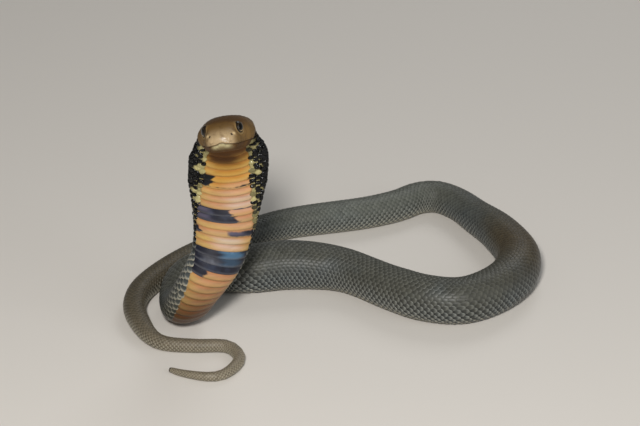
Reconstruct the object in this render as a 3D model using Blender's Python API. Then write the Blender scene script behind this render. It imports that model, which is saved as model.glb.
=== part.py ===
"""A spitting cobra reared up with its hood spread, life size, as a still model resting on the floor.

The body is one route from the neck to the tail tip: it comes down from the head, bends on to the floor,
and lies in one wide loop with a small hook at the tail. Each length of body is its own solid.
Lengths are in millimetres in the tables below and are turned into metres when the meshes are made.
+Z is up, -Y is the side that the belly of the reared part faces, and the floor is at height 0.
"""

import math

import bmesh
import bpy
import numpy as np
from mathutils import Matrix, Vector

# Driving dimensions
MM = 0.001
SEAM_GAP = 0.3
HEAD_LENGTH = 39.0
HEAD_YAW = 3.8
HEAD_PITCH = 19.0
HEAD_ROLL = 9.8
EYE_RADIUS = 3.0
EYE_FLATNESS = 0.62
EYE_PLACE = np.array((27.8, 8.1, 4.05))
EYE_LOOKS = np.array((0.50, 0.86, 0.13))
NOSTRIL_PLACE = np.array((36.4, 5.7, 2.7))
NOSTRIL_RADIUS = 0.75
SOCKET_FACETS = (22, 12)
EYE_FACETS = (20, 10)
NOSTRIL_FACETS = (10, 6)
BELLY_PLATE_PITCH = 3.5
BELLY_PLATE_RAISE = 0.45
BELLY_PLATE_STEP = 0.3
NAPE_LENGTH = 24.0
NAPE_RINGS_PER_PLATE = 3
VENT_FROM_TIP = 118.0

# How high the centre line lies on the floor, as a share of the half depth, which presses the belly flat
BELLY_FLAT = 0.94
SETTLING = 14.0
FIRST_FLOOR_HEIGHT = 10.0

# The shape of a cross-section: how full it is, how sharp and how far forward the hood's edges are
FULLNESS = 0.92
HOOD_SHARPNESS = 0.75
HOOD_EDGE_FORWARD = 1.6
PLATE_SIDE = 0.30
PLATE_SIDE_IN_HOOD = 0.40
PLATE_SIDE_SLOPE = 0.25

# The head blends from the route over these lengths
NECK_BLEND = 5.0
LEAD_IN = 6.0

# The route of the backbone from the head joint, down the reared part: x, y, height
REARED_ROUTE = (
    (-52.4, -45.3, 119.7),
    (-52.5, -40.5, 116.0),
    (-52.6, -38.7, 110.4),
    (-52.6, -38.5, 103.0),
    (-53.3, -39.0, 90.0),
    (-54.3, -40.6, 75.0),
    (-55.7, -43.4, 60.5),
    (-59.1, -46.4, 47.0),
    (-64.9, -47.6, 35.5),
    (-71.1, -46.0, 24.5),
    (-75.1, -41.0, 15.6),
    (-77.5, -31.9, 10.8),
)

# The route on along the floor to the tail tip: x, y
FLOOR_ROUTE = (
    (-78.1, -20.9),
    (-75.5, -9.9),
    (-67.9, -2.0),
    (-57.1, 1.0),
    (-45.3, 0.0),
    (-23.4, 3.8),
    (4.8, 0.7),
    (32.0, -18.8),
    (46.7, -27.9),
    (65.6, -30.9),
    (81.4, -22.4),
    (94.2, -6.3),
    (98.3, 13.8),
    (89.7, 41.3),
    (78.9, 59.3),
    (68.8, 74.8),
    (57.3, 83.1),
    (47.1, 81.6),
    (35.9, 73.6),
    (19.4, 66.0),
    (-31.5, 51.6),
    (-56.0, 36.3),
    (-81.8, 14.8),
    (-99.3, -8.7),
    (-103.3, -20.6),
    (-103.3, -32.4),
    (-94.1, -54.5),
    (-86.8, -60.4),
    (-70.9, -62.4),
    (-53.9, -63.1),
    (-48.0, -73.9),
    (-54.9, -87.0),
    (-61.2, -89.5),
    (-76.3, -85.4),
    (-84.0, -80.6),
)

# Which way the back faces along the route: distance from the head joint, then a direction
BACK_FACING = (
    (0.0, None),
    (8.0, (0.12, 0.55, 0.83)),
    (20.0, (0.14, 0.99, 0.05)),
    (50.0, (0.12, 0.99, 0.0)),
    (66.0, (0.0, 1.0, 0.0)),
    (82.0, (-0.14, 0.99, 0.0)),
    (97.0, (-0.45, 0.88, 0.1)),
    (112.0, (-0.42, 0.78, 0.45)),
    (128.0, (-0.20, 0.42, 0.88)),
    (142.0, (0.0, 0.0, 1.0)),
)

# Half width and half depth of the body by distance from the head joint
GIRTH = (
    (0.0, 12.6, 6.6),
    (5.0, 13.4, 6.6),
    (10.0, 15.4, 6.3),
    (15.0, 18.4, 6.1),
    (21.0, 20.5, 6.1),
    (32.0, 20.6, 6.6),
    (43.0, 18.6, 7.4),
    (54.0, 16.8, 8.4),
    (68.0, 14.8, 9.3),
    (84.0, 13.5, 9.8),
    (122.0, 12.9, 9.8),
    (150.0, 12.6, 11.2),
    (200.0, 13.0, 12.6),
    (245.0, 11.2, 10.9),
    (285.0, 12.0, 11.7),
    (340.0, 12.1, 11.8),
    (382.0, 10.8, 10.5),
    (430.0, 8.8, 8.6),
    (510.0, 8.6, 8.4),
    (580.0, 7.3, 7.1),
    (630.0, 6.7, 6.4),
    (665.0, 5.5, 5.3),
    (690.0, 3.9, 3.8),
    (725.0, 3.4, 3.3),
    (755.0, 2.7, 2.6),
    (775.0, 1.9, 1.8),
    (788.0, 0.7, 0.7),
)

# How far the hood is lens shaped instead of round, by distance from the head joint
HOOD_THINNESS = ((0.0, 0.0), (10.0, 0.5), (20.0, 1.0), (44.0, 1.0), (84.0, 0.0))

# Degrees that the cross-sections are tipped, the snake's left side up, by distance from the head joint
TIP = (
    (0.0, 0.0),
    (14.0, 9.0),
    (30.0, 8.0),
    (56.0, 3.0),
    (80.0, 6.0),
    (98.0, 15.0),
    (116.0, 9.0),
    (136.0, 0.0),
)

# The lengths that the body is parted into
REARED_LENGTHS = (("hood", 0.0, 48.0), ("neck", 48.0, 86.0), ("forebody", 86.0, 118.0))
FLOOR_START = 118.0
TURN_PER_LENGTH = 50.0
LONGEST_LENGTH = 88.0

SHORTEST_LENGTH = 14.0

# Mesh fineness
REARED_SIDES = 28
FLOOR_SIDES = 20
FLOOR_RING_SPACING = 5.0
ROUTE_STEP = 0.25
POINTS_PER_SPAN = 40
CUT_SEARCH_STEP = 2.0
SMOOTH_BELOW = 35.0

# Head outline by distance forward of the joint: half width, crown, mouth line, chin, squareness
HEAD_STATIONS = (
    (0.0, 12.6, 6.6, -2.0, -6.6, 2.3),
    (7.0, 14.4, 7.1, -3.5, -7.8, 2.2),
    (14.0, 15.1, 7.55, -4.1, -8.6, 2.25),
    (20.0, 13.9, 7.75, -3.9, -8.2, 2.4),
    (26.0, 11.1, 7.6, -3.6, -7.2, 2.65),
    (31.0, 9.6, 6.8, -3.2, -6.2, 2.7),
    (34.0, 8.7, 5.8, -2.9, -5.5, 2.5),
    (36.3, 7.6, 4.6, -2.5, -4.5, 2.3),
    (37.9, 6.1, 3.2, -2.1, -3.8, 2.2),
    (38.7, 4.4, 1.8, -1.8, -3.1, 2.1),
    (39.0, 2.2, 0.4, -1.5, -2.3, 2.0),
)

# Below the mouth the jaw is drawn in and squarer than above it, and the cheeks are drawn in over the lips
JAW_TUCK = 0.10
JAW_SQUARE = 0.7
JAW_FADE = 0.3
CHEEK_TUCK = 0.14
CHEEK_LEVEL = 0.6
HEAD_RING_SPACING = 1.2
SNOUT_RINGS = (37.0, 37.8, 38.35, 38.7, 38.9)
HEAD_LEVELS_ABOVE = (0.07, 0.18, 0.32, 0.47, 0.62, 0.76, 0.88, 0.96, 0.993, 1.0)
HEAD_LEVELS_BELOW = (0.1, 0.3, 0.55, 0.8, 0.95, 1.0)

# The mouth: where it ends, the groove between the lips and the swelling of the lips beside it
JAW_CORNER = 11.0
MOUTH_FADE = 4.0
LIP_GROOVE = 0.42
LIP_GROOVE_WIDTH = 0.3
LIP_BULGE = 0.12
LIP_BULGE_WIDTH = 0.6
LIP_BULGE_FROM_MOUTH = 0.8

# The flat round each eye, the rim there and the brow above: heights, widths, distances from the eye
ORBIT_REACH = 4.6
ORBIT_DEPTH = 0.75
ORBIT_FADE = 3.6
RIM_RAISE = 0.35
RIM_RADIUS = 3.9
RIM_WIDTH = 0.8
BROW_RAISE = 0.45
BROW_ABOVE_EYE = 3.7
BROW_WIDTH = 1.2
BROW_LENGTH = 5.2

# Finishes: colour and roughness
HEAD_FINISH = ((0.22, 0.15, 0.08), 0.4)
EYE_FINISH = ((0.02, 0.018, 0.015), 0.08)
BELLY_FINISH = ((0.50, 0.30, 0.12), 0.42)
BACK_FINISH = ((0.10, 0.11, 0.10), 0.45)


def clear_scene():
    """Removes whatever objects the file opened with."""
    for thing in list(bpy.data.objects):
        bpy.data.objects.remove(thing)


def smooth_table(table, at):
    """Values between the rows of a table, on a curve with no overshoot."""
    rows = np.array(table, float)
    x, y = rows[:, 0], rows[:, 1:]
    slope = np.diff(y, axis=0) / np.diff(x)[:, None]
    lead = np.zeros_like(y)
    same_way = slope[:-1] * slope[1:] > 0
    total = slope[:-1] + slope[1:]
    lead[1:-1] = np.where(same_way, 2 * slope[:-1] * slope[1:] / np.where(same_way, total, 1), 0)
    lead[0], lead[-1] = slope[0], slope[-1]
    at = np.clip(np.atleast_1d(np.asarray(at, float)), x[0], x[-1])
    i = np.clip(np.searchsorted(x, at, side="right") - 1, 0, len(x) - 2)
    width = (x[i + 1] - x[i])[:, None]
    t = ((at - x[i])[:, None]) / width
    return (
        (2 * t**3 - 3 * t**2 + 1) * y[i]
        + (t**3 - 2 * t**2 + t) * width * lead[i]
        + (-2 * t**3 + 3 * t**2) * y[i + 1]
        + (t**3 - t**2) * width * lead[i + 1]
    )


def unit(vectors):
    """The same directions with length 1."""
    return vectors / np.linalg.norm(vectors, axis=-1, keepdims=True)


def head_axes():
    """Forward, sideways and up directions of the head, as unit vectors."""
    yaw, pitch, roll = (math.radians(a) for a in (HEAD_YAW, HEAD_PITCH, HEAD_ROLL))
    forward = np.array([-math.sin(yaw) * math.cos(pitch), -math.cos(yaw) * math.cos(pitch), math.sin(pitch)])
    level = np.array([math.cos(yaw), -math.sin(yaw), 0.0])
    up = np.cross(level, forward) * -1.0
    side = level * math.cos(roll) + up * math.sin(roll)
    up = up * math.cos(roll) - level * math.sin(roll)
    return forward, side, up


def smooth_route(points, lead_in):
    """Evenly spaced points of a smooth curve through the given points, which starts as if from lead_in."""
    points = np.array(points, float)
    first = np.array(lead_in)
    last = 2 * points[-1] - points[-2]
    chain = np.vstack([first, points, last])
    made = []
    for a, b, c, d in zip(chain[:-3], chain[1:-2], chain[2:-1], chain[3:]):
        knots = np.cumsum([0.0, *(math.sqrt(np.linalg.norm(q - p)) for p, q in ((a, b), (b, c), (c, d)))])
        t = np.linspace(knots[1], knots[2], POINTS_PER_SPAN, endpoint=False)[:, None]
        ab = (knots[1] - t) / knots[1] * a + t / knots[1] * b
        bc = (knots[2] - t) / (knots[2] - knots[1]) * b + (t - knots[1]) / (knots[2] - knots[1]) * c
        cd = (knots[3] - t) / (knots[3] - knots[2]) * c + (t - knots[2]) / (knots[3] - knots[2]) * d
        abc = (knots[2] - t) / knots[2] * ab + t / knots[2] * bc
        bcd = (knots[3] - t) / (knots[3] - knots[1]) * bc + (t - knots[1]) / (knots[3] - knots[1]) * cd
        share = (t - knots[1]) / (knots[2] - knots[1])
        made.append((1 - share) * abc + share * bcd)
    line = np.vstack([*made, points[-1:]])
    return even_steps(line, ROUTE_STEP)


def even_steps(line, step):
    """The line with its points an even distance apart."""
    run = np.concatenate([[0.0], np.cumsum(np.linalg.norm(np.diff(line, axis=0), axis=1))])
    marks = np.linspace(0.0, run[-1], int(run[-1] / step) + 1)
    return np.column_stack([np.interp(marks, run, line[:, k]) for k in range(3)])


class Backbone:
    """The body's centre line, with its directions and its size at any distance from the head joint."""

    def __init__(self):
        forward, _, up = head_axes()
        joint = np.array(REARED_ROUTE[0])
        floor = [(x, y, FIRST_FLOOR_HEIGHT) for x, y in FLOOR_ROUTE]
        line = smooth_route([*REARED_ROUTE, *floor], joint + forward * LEAD_IN)
        self.length = float(np.sum(np.linalg.norm(np.diff(line, axis=0), axis=1)))
        self.marks = np.linspace(0.0, self.length, len(line))
        lies_from = self.marks[np.argmin(np.linalg.norm(line - floor[0], axis=1))]
        depth = smooth_table(GIRTH, self.marks)[:, 1]
        lies = np.clip((self.marks - lies_from + SETTLING) / SETTLING, 0.0, 1.0)
        lies = lies * lies * (3 - 2 * lies)
        line[:, 2] = line[:, 2] * (1 - lies) + depth * BELLY_FLAT * lies
        self.line = line
        ahead = np.gradient(line, axis=0)
        start = np.clip(1.0 - self.marks / NECK_BLEND, 0.0, 1.0)[:, None]
        self.ahead = unit(unit(ahead) * (1 - start) - forward * start)
        facing = np.array([(at, *(up if way is None else way)) for at, way in BACK_FACING])
        back = smooth_table(facing, self.marks)
        back = back - np.sum(back * self.ahead, axis=1, keepdims=True) * self.ahead
        self.back = unit(back)
        self.side = np.cross(self.ahead, self.back)

    def at(self, distance):
        """Place, side direction and back direction at a distance from the head joint."""
        columns = np.hstack([self.line, self.side, self.back]).T
        pick = np.array([np.interp(distance, self.marks, column) for column in columns])
        return pick[0:3], unit(pick[3:6]), unit(pick[6:9])

    def turning(self, first, last):
        """Degrees that the centre line turns between two distances."""
        inside = (self.marks >= first) & (self.marks <= last)
        way = self.ahead[inside]
        steps = np.clip(np.sum(way[1:] * way[:-1], axis=1), -1.0, 1.0)
        return float(np.degrees(np.arccos(steps)).sum())


def body_outline(distance, sides, plate_rise):
    """Sideways and backward offsets round the body at a distance, the belly plate raised by plate_rise."""
    half_width, half_depth = smooth_table(GIRTH, distance)[0]
    thin = smooth_table(HOOD_THINNESS, distance)[0, 0]
    angles = np.arange(sides) * 2 * math.pi / sides - math.pi / 2
    across, deep = np.cos(angles), np.sin(angles)
    sideways = np.sign(across) * np.abs(across) ** FULLNESS * half_width
    backward = np.sign(deep) * np.abs(deep) ** (FULLNESS + HOOD_SHARPNESS * thin) * half_depth
    edge_forward = HOOD_EDGE_FORWARD * thin * np.abs(across) ** 3
    plate_side = PLATE_SIDE + PLATE_SIDE_IN_HOOD * thin
    on_plate = np.clip((-deep - plate_side) / PLATE_SIDE_SLOPE, 0.0, 1.0)
    return sideways, backward - edge_forward - plate_rise * on_plate


def ring(backbone, distance, sides, plate_rise=0.0):
    """The points round the body at a distance from the head joint, none below the floor."""
    place, side, back = backbone.at(distance)
    tip = math.radians(smooth_table(TIP, distance)[0, 0])
    ahead = np.cross(back, side)
    side = side * math.cos(tip) - ahead * math.sin(tip)
    sideways, backward = body_outline(distance, sides, plate_rise)
    points = place + np.outer(sideways, side) + np.outer(backward, back)
    points[:, 2] = np.maximum(points[:, 2], 0.0)
    return points


def skin_rings(name, rings):
    """One closed mesh through a row of rings, with flat ends."""
    mesh = bmesh.new()
    rows = [[mesh.verts.new(Vector(p) * MM) for p in points] for points in rings]
    for near, far in zip(rows[:-1], rows[1:]):
        count = len(near)
        for i in range(count):
            j = (i + 1) % count
            mesh.faces.new((near[i], near[j], far[j]))
            mesh.faces.new((near[i], far[j], far[i]))
    for row, flip in ((rows[0], True), (rows[-1], False)):
        centre = mesh.verts.new(sum((v.co for v in row), Vector()) / len(row))
        for i in range(len(row)):
            j = (i + 1) % len(row)
            mesh.faces.new((centre, row[j], row[i]) if flip else (centre, row[i], row[j]))
    bmesh.ops.recalc_face_normals(mesh, faces=mesh.faces)
    data = bpy.data.meshes.new(name)
    mesh.to_mesh(data)
    mesh.free()
    thing = bpy.data.objects.new(name, data)
    bpy.context.scene.collection.objects.link(thing)
    return thing


def reared_distances(first, last):
    """Ring places with two rings for each belly plate, and how far the plate stands out at each."""
    made = [(first, plate_height(first))]
    plate = math.floor(first / BELLY_PLATE_PITCH) + 1
    while plate * BELLY_PLATE_PITCH < last - BELLY_PLATE_STEP:
        edge = plate * BELLY_PLATE_PITCH
        if edge < NAPE_LENGTH:
            for share in range(NAPE_RINGS_PER_PLATE - 1, 0, -1):
                at = edge - BELLY_PLATE_PITCH * share / NAPE_RINGS_PER_PLATE
                made.append((at, plate_height(at)))
        if edge - BELLY_PLATE_STEP > first:
            made.append((edge - BELLY_PLATE_STEP, BELLY_PLATE_RAISE))
        made.append((edge, 0.0))
        plate += 1
    made.append((last, plate_height(last)))
    return made


def plate_height(distance):
    """How far a belly plate stands out at a distance: nothing at its front edge, most at its free edge."""
    return BELLY_PLATE_RAISE * (distance / BELLY_PLATE_PITCH % 1.0)


def finish_piece(thing, finish):
    """Shades the piece smooth across gentle edges and gives it its own material."""
    colour, roughness = finish
    material = bpy.data.materials.new(thing.name + "_finish")
    material.use_nodes = True
    shader = material.node_tree.nodes["Principled BSDF"]
    shader.inputs["Base Color"].default_value = (*colour, 1.0)
    shader.inputs["Roughness"].default_value = roughness
    shader.inputs["Metallic"].default_value = 0.0
    thing.data.materials.append(material)
    thing.data.shade_smooth()
    thing.data.set_sharp_from_angle(angle=math.radians(SMOOTH_BELOW))


def make_reared_part(backbone):
    """The hood, neck and forebody, each with its belly plates raised."""
    for name, first, last in REARED_LENGTHS:
        first, last = first + SEAM_GAP / 2, last - SEAM_GAP / 2
        rings = [ring(backbone, at, REARED_SIDES, rise) for at, rise in reared_distances(first, last)]
        finish_piece(skin_rings(name, rings), BELLY_FINISH)


def floor_cuts(backbone):
    """Distances where the body on the floor is parted, so that each length bends only gently."""
    cuts = [FLOOR_START]
    vent = backbone.length - VENT_FROM_TIP
    at = FLOOR_START
    while at + CUT_SEARCH_STEP < backbone.length - SHORTEST_LENGTH:
        at += CUT_SEARCH_STEP
        turned = backbone.turning(cuts[-1], at)
        past_vent = cuts[-1] < vent <= at
        if turned > TURN_PER_LENGTH or at - cuts[-1] > LONGEST_LENGTH or past_vent:
            cuts.append(vent if past_vent else at)
    return [*cuts, backbone.length], vent


def make_floor_part(backbone):
    """The trunk and the tail, in lengths along the floor."""
    cuts, vent = floor_cuts(backbone)
    trunk = tail = 0
    for first, last in zip(cuts[:-1], cuts[1:]):
        if last <= vent:
            trunk += 1
            name = f"trunk_{trunk:02d}"
        else:
            tail += 1
            name = f"tail_{tail}"
        first, last = first + SEAM_GAP / 2, last - SEAM_GAP / 2
        count = max(3, round((last - first) / FLOOR_RING_SPACING) + 1)
        rings = [ring(backbone, at, FLOOR_SIDES) for at in np.linspace(first, last, count)]
        finish_piece(skin_rings(name, rings), BACK_FINISH)


def head_ring(forward_by):
    """Points round the head at a distance forward, from the chin up the left side and over the crown."""
    half_width, crown, mouth, chin, square = smooth_table(HEAD_STATIONS, forward_by)[0]
    levels = np.array([*(-level for level in reversed(HEAD_LEVELS_BELOW)), 0.0, *HEAD_LEVELS_ABOVE])
    in_jaw = np.clip(-levels / JAW_FADE, 0.0, 1.0)
    over_lips = np.where(levels > 0, np.clip(1 - levels / CHEEK_LEVEL, 0.0, 1.0), 1.0)
    square = square + JAW_SQUARE * in_jaw
    sideways = half_width * (1 - np.abs(levels) ** square) ** (1 / square)
    sideways = sideways * (1 - JAW_TUCK * in_jaw) * (1 - CHEEK_TUCK * over_lips**2)
    upward = np.where(levels > 0, mouth + levels * (crown - mouth), mouth + levels * (mouth - chin))
    left = np.column_stack([np.full(len(levels), forward_by), sideways, upward])
    right = left[-2:0:-1] * np.array([1.0, -1.0, 1.0])
    return np.vstack([left, right])


def outward(rings):
    """Outward directions at every point of a row of head rings."""
    around = np.roll(rings, -1, axis=1) - np.roll(rings, 1, axis=1)
    along = np.gradient(rings, axis=0)
    return unit(np.cross(around, along) * -1.0)


def bump(offset, width):
    """A smooth rise that is 1 where the offset is 0 and fades over the width."""
    return np.exp(-((offset / width) ** 2))


def shape_lips(rings):
    """Presses the line of the mouth in and swells the lips beside it."""
    forward_by = rings[..., 0]
    mouth = smooth_table(HEAD_STATIONS, forward_by.ravel())[:, 2].reshape(forward_by.shape)
    from_mouth = np.abs(rings[..., 2] - mouth)
    swell = LIP_BULGE * bump(from_mouth - LIP_BULGE_FROM_MOUTH, LIP_BULGE_WIDTH)
    lip = swell - LIP_GROOVE * bump(from_mouth, LIP_GROOVE_WIDTH)
    open_here = np.clip((forward_by - JAW_CORNER) / MOUTH_FADE, 0.0, 1.0)
    return rings + outward(rings) * (lip * open_here)[..., None]


def shape_orbits(rings):
    """Flattens the head round each eye and raises the rim and the brow there."""
    for hand in (1.0, -1.0):
        mirror = np.array([1.0, hand, 1.0])
        looks = unit(EYE_LOOKS * mirror)
        away = rings - EYE_PLACE * mirror
        height = away @ looks
        flat = away - height[..., None] * looks
        reach = np.linalg.norm(flat, axis=-1)
        beside = rings[..., 1] * hand > 0
        near = np.exp(-((reach / ORBIT_REACH) ** 4)) * beside * np.clip(1.0 + height / ORBIT_FADE, 0.0, 1.0)
        rim = RIM_RAISE * bump(reach - RIM_RADIUS, RIM_WIDTH)
        above = bump(flat[..., 2] - BROW_ABOVE_EYE, BROW_WIDTH) * bump(flat[..., 0], BROW_LENGTH)
        raised = (rim + BROW_RAISE * above) * beside
        rings = rings + looks * (near * (ORBIT_DEPTH - height) + raised)[..., None]
    return rings


def head_point(place):
    """Where points of the head, given as forward, sideways and up from its joint, are in the model."""
    return np.array(REARED_ROUTE[0]) + place @ np.array(head_axes())


def ball(name, centre, radii, facets, looks):
    """A ball with its poles along a direction of the head: radii are across the poles' axis and along it."""
    mesh = bmesh.new()
    bmesh.ops.create_uvsphere(mesh, u_segments=facets[0], v_segments=facets[1], radius=MM)
    forward, side, up = head_axes()
    pole = Vector(unit(forward * looks[0] + side * looks[1] + up * looks[2]))
    upward = (Vector(up) - pole * pole.dot(Vector(up))).normalized()
    turn = Matrix((upward.cross(pole), upward, pole)).transposed().to_4x4()
    size = Matrix.Diagonal((radii[0], radii[0], radii[1], 1.0))
    bmesh.ops.transform(mesh, matrix=Matrix.Translation(Vector(centre) * MM) @ turn @ size, verts=mesh.verts)
    bmesh.ops.triangulate(mesh, faces=mesh.faces)
    bmesh.ops.recalc_face_normals(mesh, faces=mesh.faces)
    data = bpy.data.meshes.new(name)
    mesh.to_mesh(data)
    mesh.free()
    thing = bpy.data.objects.new(name, data)
    bpy.context.scene.collection.objects.link(thing)
    return thing


def cut_away(thing, cutter):
    """Cuts the cutter's shape out of the thing and removes the cutter."""
    cut = thing.modifiers.new("cut", "BOOLEAN")
    cut.operation = "DIFFERENCE"
    cut.solver = "EXACT"
    cut.object = cutter
    bpy.context.view_layer.update()
    shaped = bpy.data.meshes.new_from_object(thing.evaluated_get(bpy.context.evaluated_depsgraph_get()))
    thing.modifiers.clear()
    thing.data = shaped
    bpy.data.objects.remove(cutter)


def make_head():
    """The head with its lips, brows, eye sockets and nostrils, and the two eyes."""
    start = SEAM_GAP / 2
    count = round((SNOUT_RINGS[0] - start) / HEAD_RING_SPACING) + 1
    places = [*np.linspace(start, SNOUT_RINGS[0], count), *SNOUT_RINGS[1:]]
    rings = shape_orbits(shape_lips(np.array([head_ring(at) for at in places])))
    head = skin_rings("head", head_point(rings))
    eye_radii = np.array([EYE_RADIUS, EYE_RADIUS * EYE_FLATNESS])
    nostril_radii = (NOSTRIL_RADIUS, NOSTRIL_RADIUS)
    for name, hand in (("left", 1.0), ("right", -1.0)):
        mirror = np.array([1.0, hand, 1.0])
        looks = EYE_LOOKS * mirror
        eye_at = head_point(EYE_PLACE * mirror)
        nostril_at = head_point(NOSTRIL_PLACE * mirror)
        cut_away(head, ball("socket_" + name, eye_at, eye_radii + SEAM_GAP, SOCKET_FACETS, looks))
        cut_away(head, ball("nostril_" + name, nostril_at, nostril_radii, NOSTRIL_FACETS, looks))
        finish_piece(ball("eye_" + name, eye_at, eye_radii, EYE_FACETS, looks), EYE_FINISH)
    finish_piece(head, HEAD_FINISH)


def main():
    """Builds every piece of the model."""
    clear_scene()
    backbone = Backbone()
    make_head()
    make_reared_part(backbone)
    make_floor_part(backbone)


main()
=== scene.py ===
"""Looks of a life-size spitting cobra that rears up with its hood spread.

One skin runs from the snout to the tail tip and follows the same route, girth and head outline as the
solids. The scales of the back, the plates of the belly and the small plates under the tail are raised on
it. The head's shields, lips, brows, nostrils and eye sockets are part of the skin, and the two eyes are
pieces of their own.

Distances along the snake are called ways and are in millimetres from the head joint: negative towards the
snout, positive towards the tail tip. A share tells where a point lies round the body, from 0 at the middle
of the back to 1 at the middle of the belly, positive on the snake's left side and negative on its right.
"""

from __future__ import annotations

import logging
import math
from contextlib import contextmanager
from dataclasses import dataclass, field
from enum import Enum
from typing import Iterator, Mapping, Sequence

import bpy
import numpy as np
from mathutils import Matrix, Vector

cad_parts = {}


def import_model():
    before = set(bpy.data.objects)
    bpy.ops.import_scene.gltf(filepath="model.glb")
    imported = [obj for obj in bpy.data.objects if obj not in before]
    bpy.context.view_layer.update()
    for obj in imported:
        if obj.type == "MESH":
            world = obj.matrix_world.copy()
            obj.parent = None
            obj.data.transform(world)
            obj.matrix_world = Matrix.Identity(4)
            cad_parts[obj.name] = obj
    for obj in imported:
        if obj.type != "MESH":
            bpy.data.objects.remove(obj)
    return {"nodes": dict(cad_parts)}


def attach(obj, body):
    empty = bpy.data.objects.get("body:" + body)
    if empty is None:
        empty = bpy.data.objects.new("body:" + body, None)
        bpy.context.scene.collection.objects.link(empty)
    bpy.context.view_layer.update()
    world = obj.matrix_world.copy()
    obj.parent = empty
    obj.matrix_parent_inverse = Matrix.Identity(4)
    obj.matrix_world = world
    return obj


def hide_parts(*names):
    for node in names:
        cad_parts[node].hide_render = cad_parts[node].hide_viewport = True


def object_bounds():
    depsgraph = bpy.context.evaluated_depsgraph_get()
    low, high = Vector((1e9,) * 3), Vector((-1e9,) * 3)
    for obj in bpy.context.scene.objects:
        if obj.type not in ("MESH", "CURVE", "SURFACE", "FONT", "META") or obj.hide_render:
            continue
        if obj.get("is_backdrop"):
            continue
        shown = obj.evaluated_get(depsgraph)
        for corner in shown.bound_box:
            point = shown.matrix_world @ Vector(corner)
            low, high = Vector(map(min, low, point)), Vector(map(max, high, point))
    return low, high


log = logging.getLogger("spitting_cobra")

MM = 0.001
BODY = "root"
RNG_SEED = 41
TINY = 1e-6
STRIP_CUTS = (236.0, 511.0)
SCALE_FACES = (6, 4)
BELLY_PLATE_FACES = (5, 26)

Rows = Sequence[Sequence[float]]
Span = tuple[float, float]
Colour = tuple[float, float, float, float]
Marks = dict[str, np.ndarray]


def table_at(rows: Rows, at: np.ndarray | float) -> np.ndarray:
    """Reads a table between its rows, on a curve with no overshoot.

    Args:
        rows: Rows of numbers, the first of each being the place.
        at: Places to read.

    Returns:
        One row of values for each place.
    """
    table = np.array(rows, float)
    x, y = table[:, 0], table[:, 1:]
    slope = np.diff(y, axis=0) / np.diff(x)[:, None]
    lead = np.zeros_like(y)
    total = slope[:-1] + slope[1:]
    same_way = slope[:-1] * slope[1:] > 0
    lead[1:-1] = np.where(same_way, 2 * slope[:-1] * slope[1:] / np.where(same_way, total, 1), 0)
    lead[0], lead[-1] = slope[0], slope[-1]
    at = np.clip(np.atleast_1d(np.asarray(at, float)), x[0], x[-1])
    i = np.clip(np.searchsorted(x, at, side="right") - 1, 0, len(x) - 2)
    width = (x[i + 1] - x[i])[:, None]
    t = (at - x[i])[:, None] / width
    start = (2 * t**3 - 3 * t**2 + 1) * y[i] + (t**3 - 2 * t**2 + t) * width * lead[i]
    end = (-2 * t**3 + 3 * t**2) * y[i + 1] + (t**3 - t**2) * width * lead[i + 1]
    return start + end


def value_at(rows: Rows, at: np.ndarray | float) -> np.ndarray:
    """Reads a table's first value between its rows."""
    return table_at(rows, at)[:, 0]


def run_along(line: np.ndarray) -> np.ndarray:
    """Gives the distance along a line at each of its points."""
    return np.concatenate([[0.0], np.cumsum(np.linalg.norm(np.diff(line, axis=0), axis=1))])


def wrapped(shares: np.ndarray) -> np.ndarray:
    """Brings shares that pass the middle of the belly back between -1 and 1."""
    return np.where(shares > 1, shares - 2, np.where(shares < -1, shares + 2, shares))


def unit(vectors: np.ndarray) -> np.ndarray:
    """Gives the same directions with length 1."""
    return vectors / np.maximum(np.linalg.norm(vectors, axis=-1, keepdims=True), 1e-12)


def bump(offset: np.ndarray, width: float | np.ndarray) -> np.ndarray:
    """A smooth rise that is 1 where the offset is 0 and fades over the width."""
    return np.exp(-((offset / width) ** 2))


def ease(value: np.ndarray, low: float, high: float) -> np.ndarray:
    """A smooth step from 0 at the low value to 1 at the high value."""
    t = np.clip((np.asarray(value, float) - low) / (high - low), 0.0, 1.0)
    return t * t * (3 - 2 * t)


def srgb(red: float, green: float, blue: float) -> Colour:
    """Turns a colour from 0 to 255, as a paint chart gives it, into the shader's linear values."""
    shares = [channel / 255 for channel in (red, green, blue)]
    linear = [c / 12.92 if c <= 0.04045 else ((c + 0.055) / 1.055) ** 2.4 for c in shares]
    return (*linear, 1.0)


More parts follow.
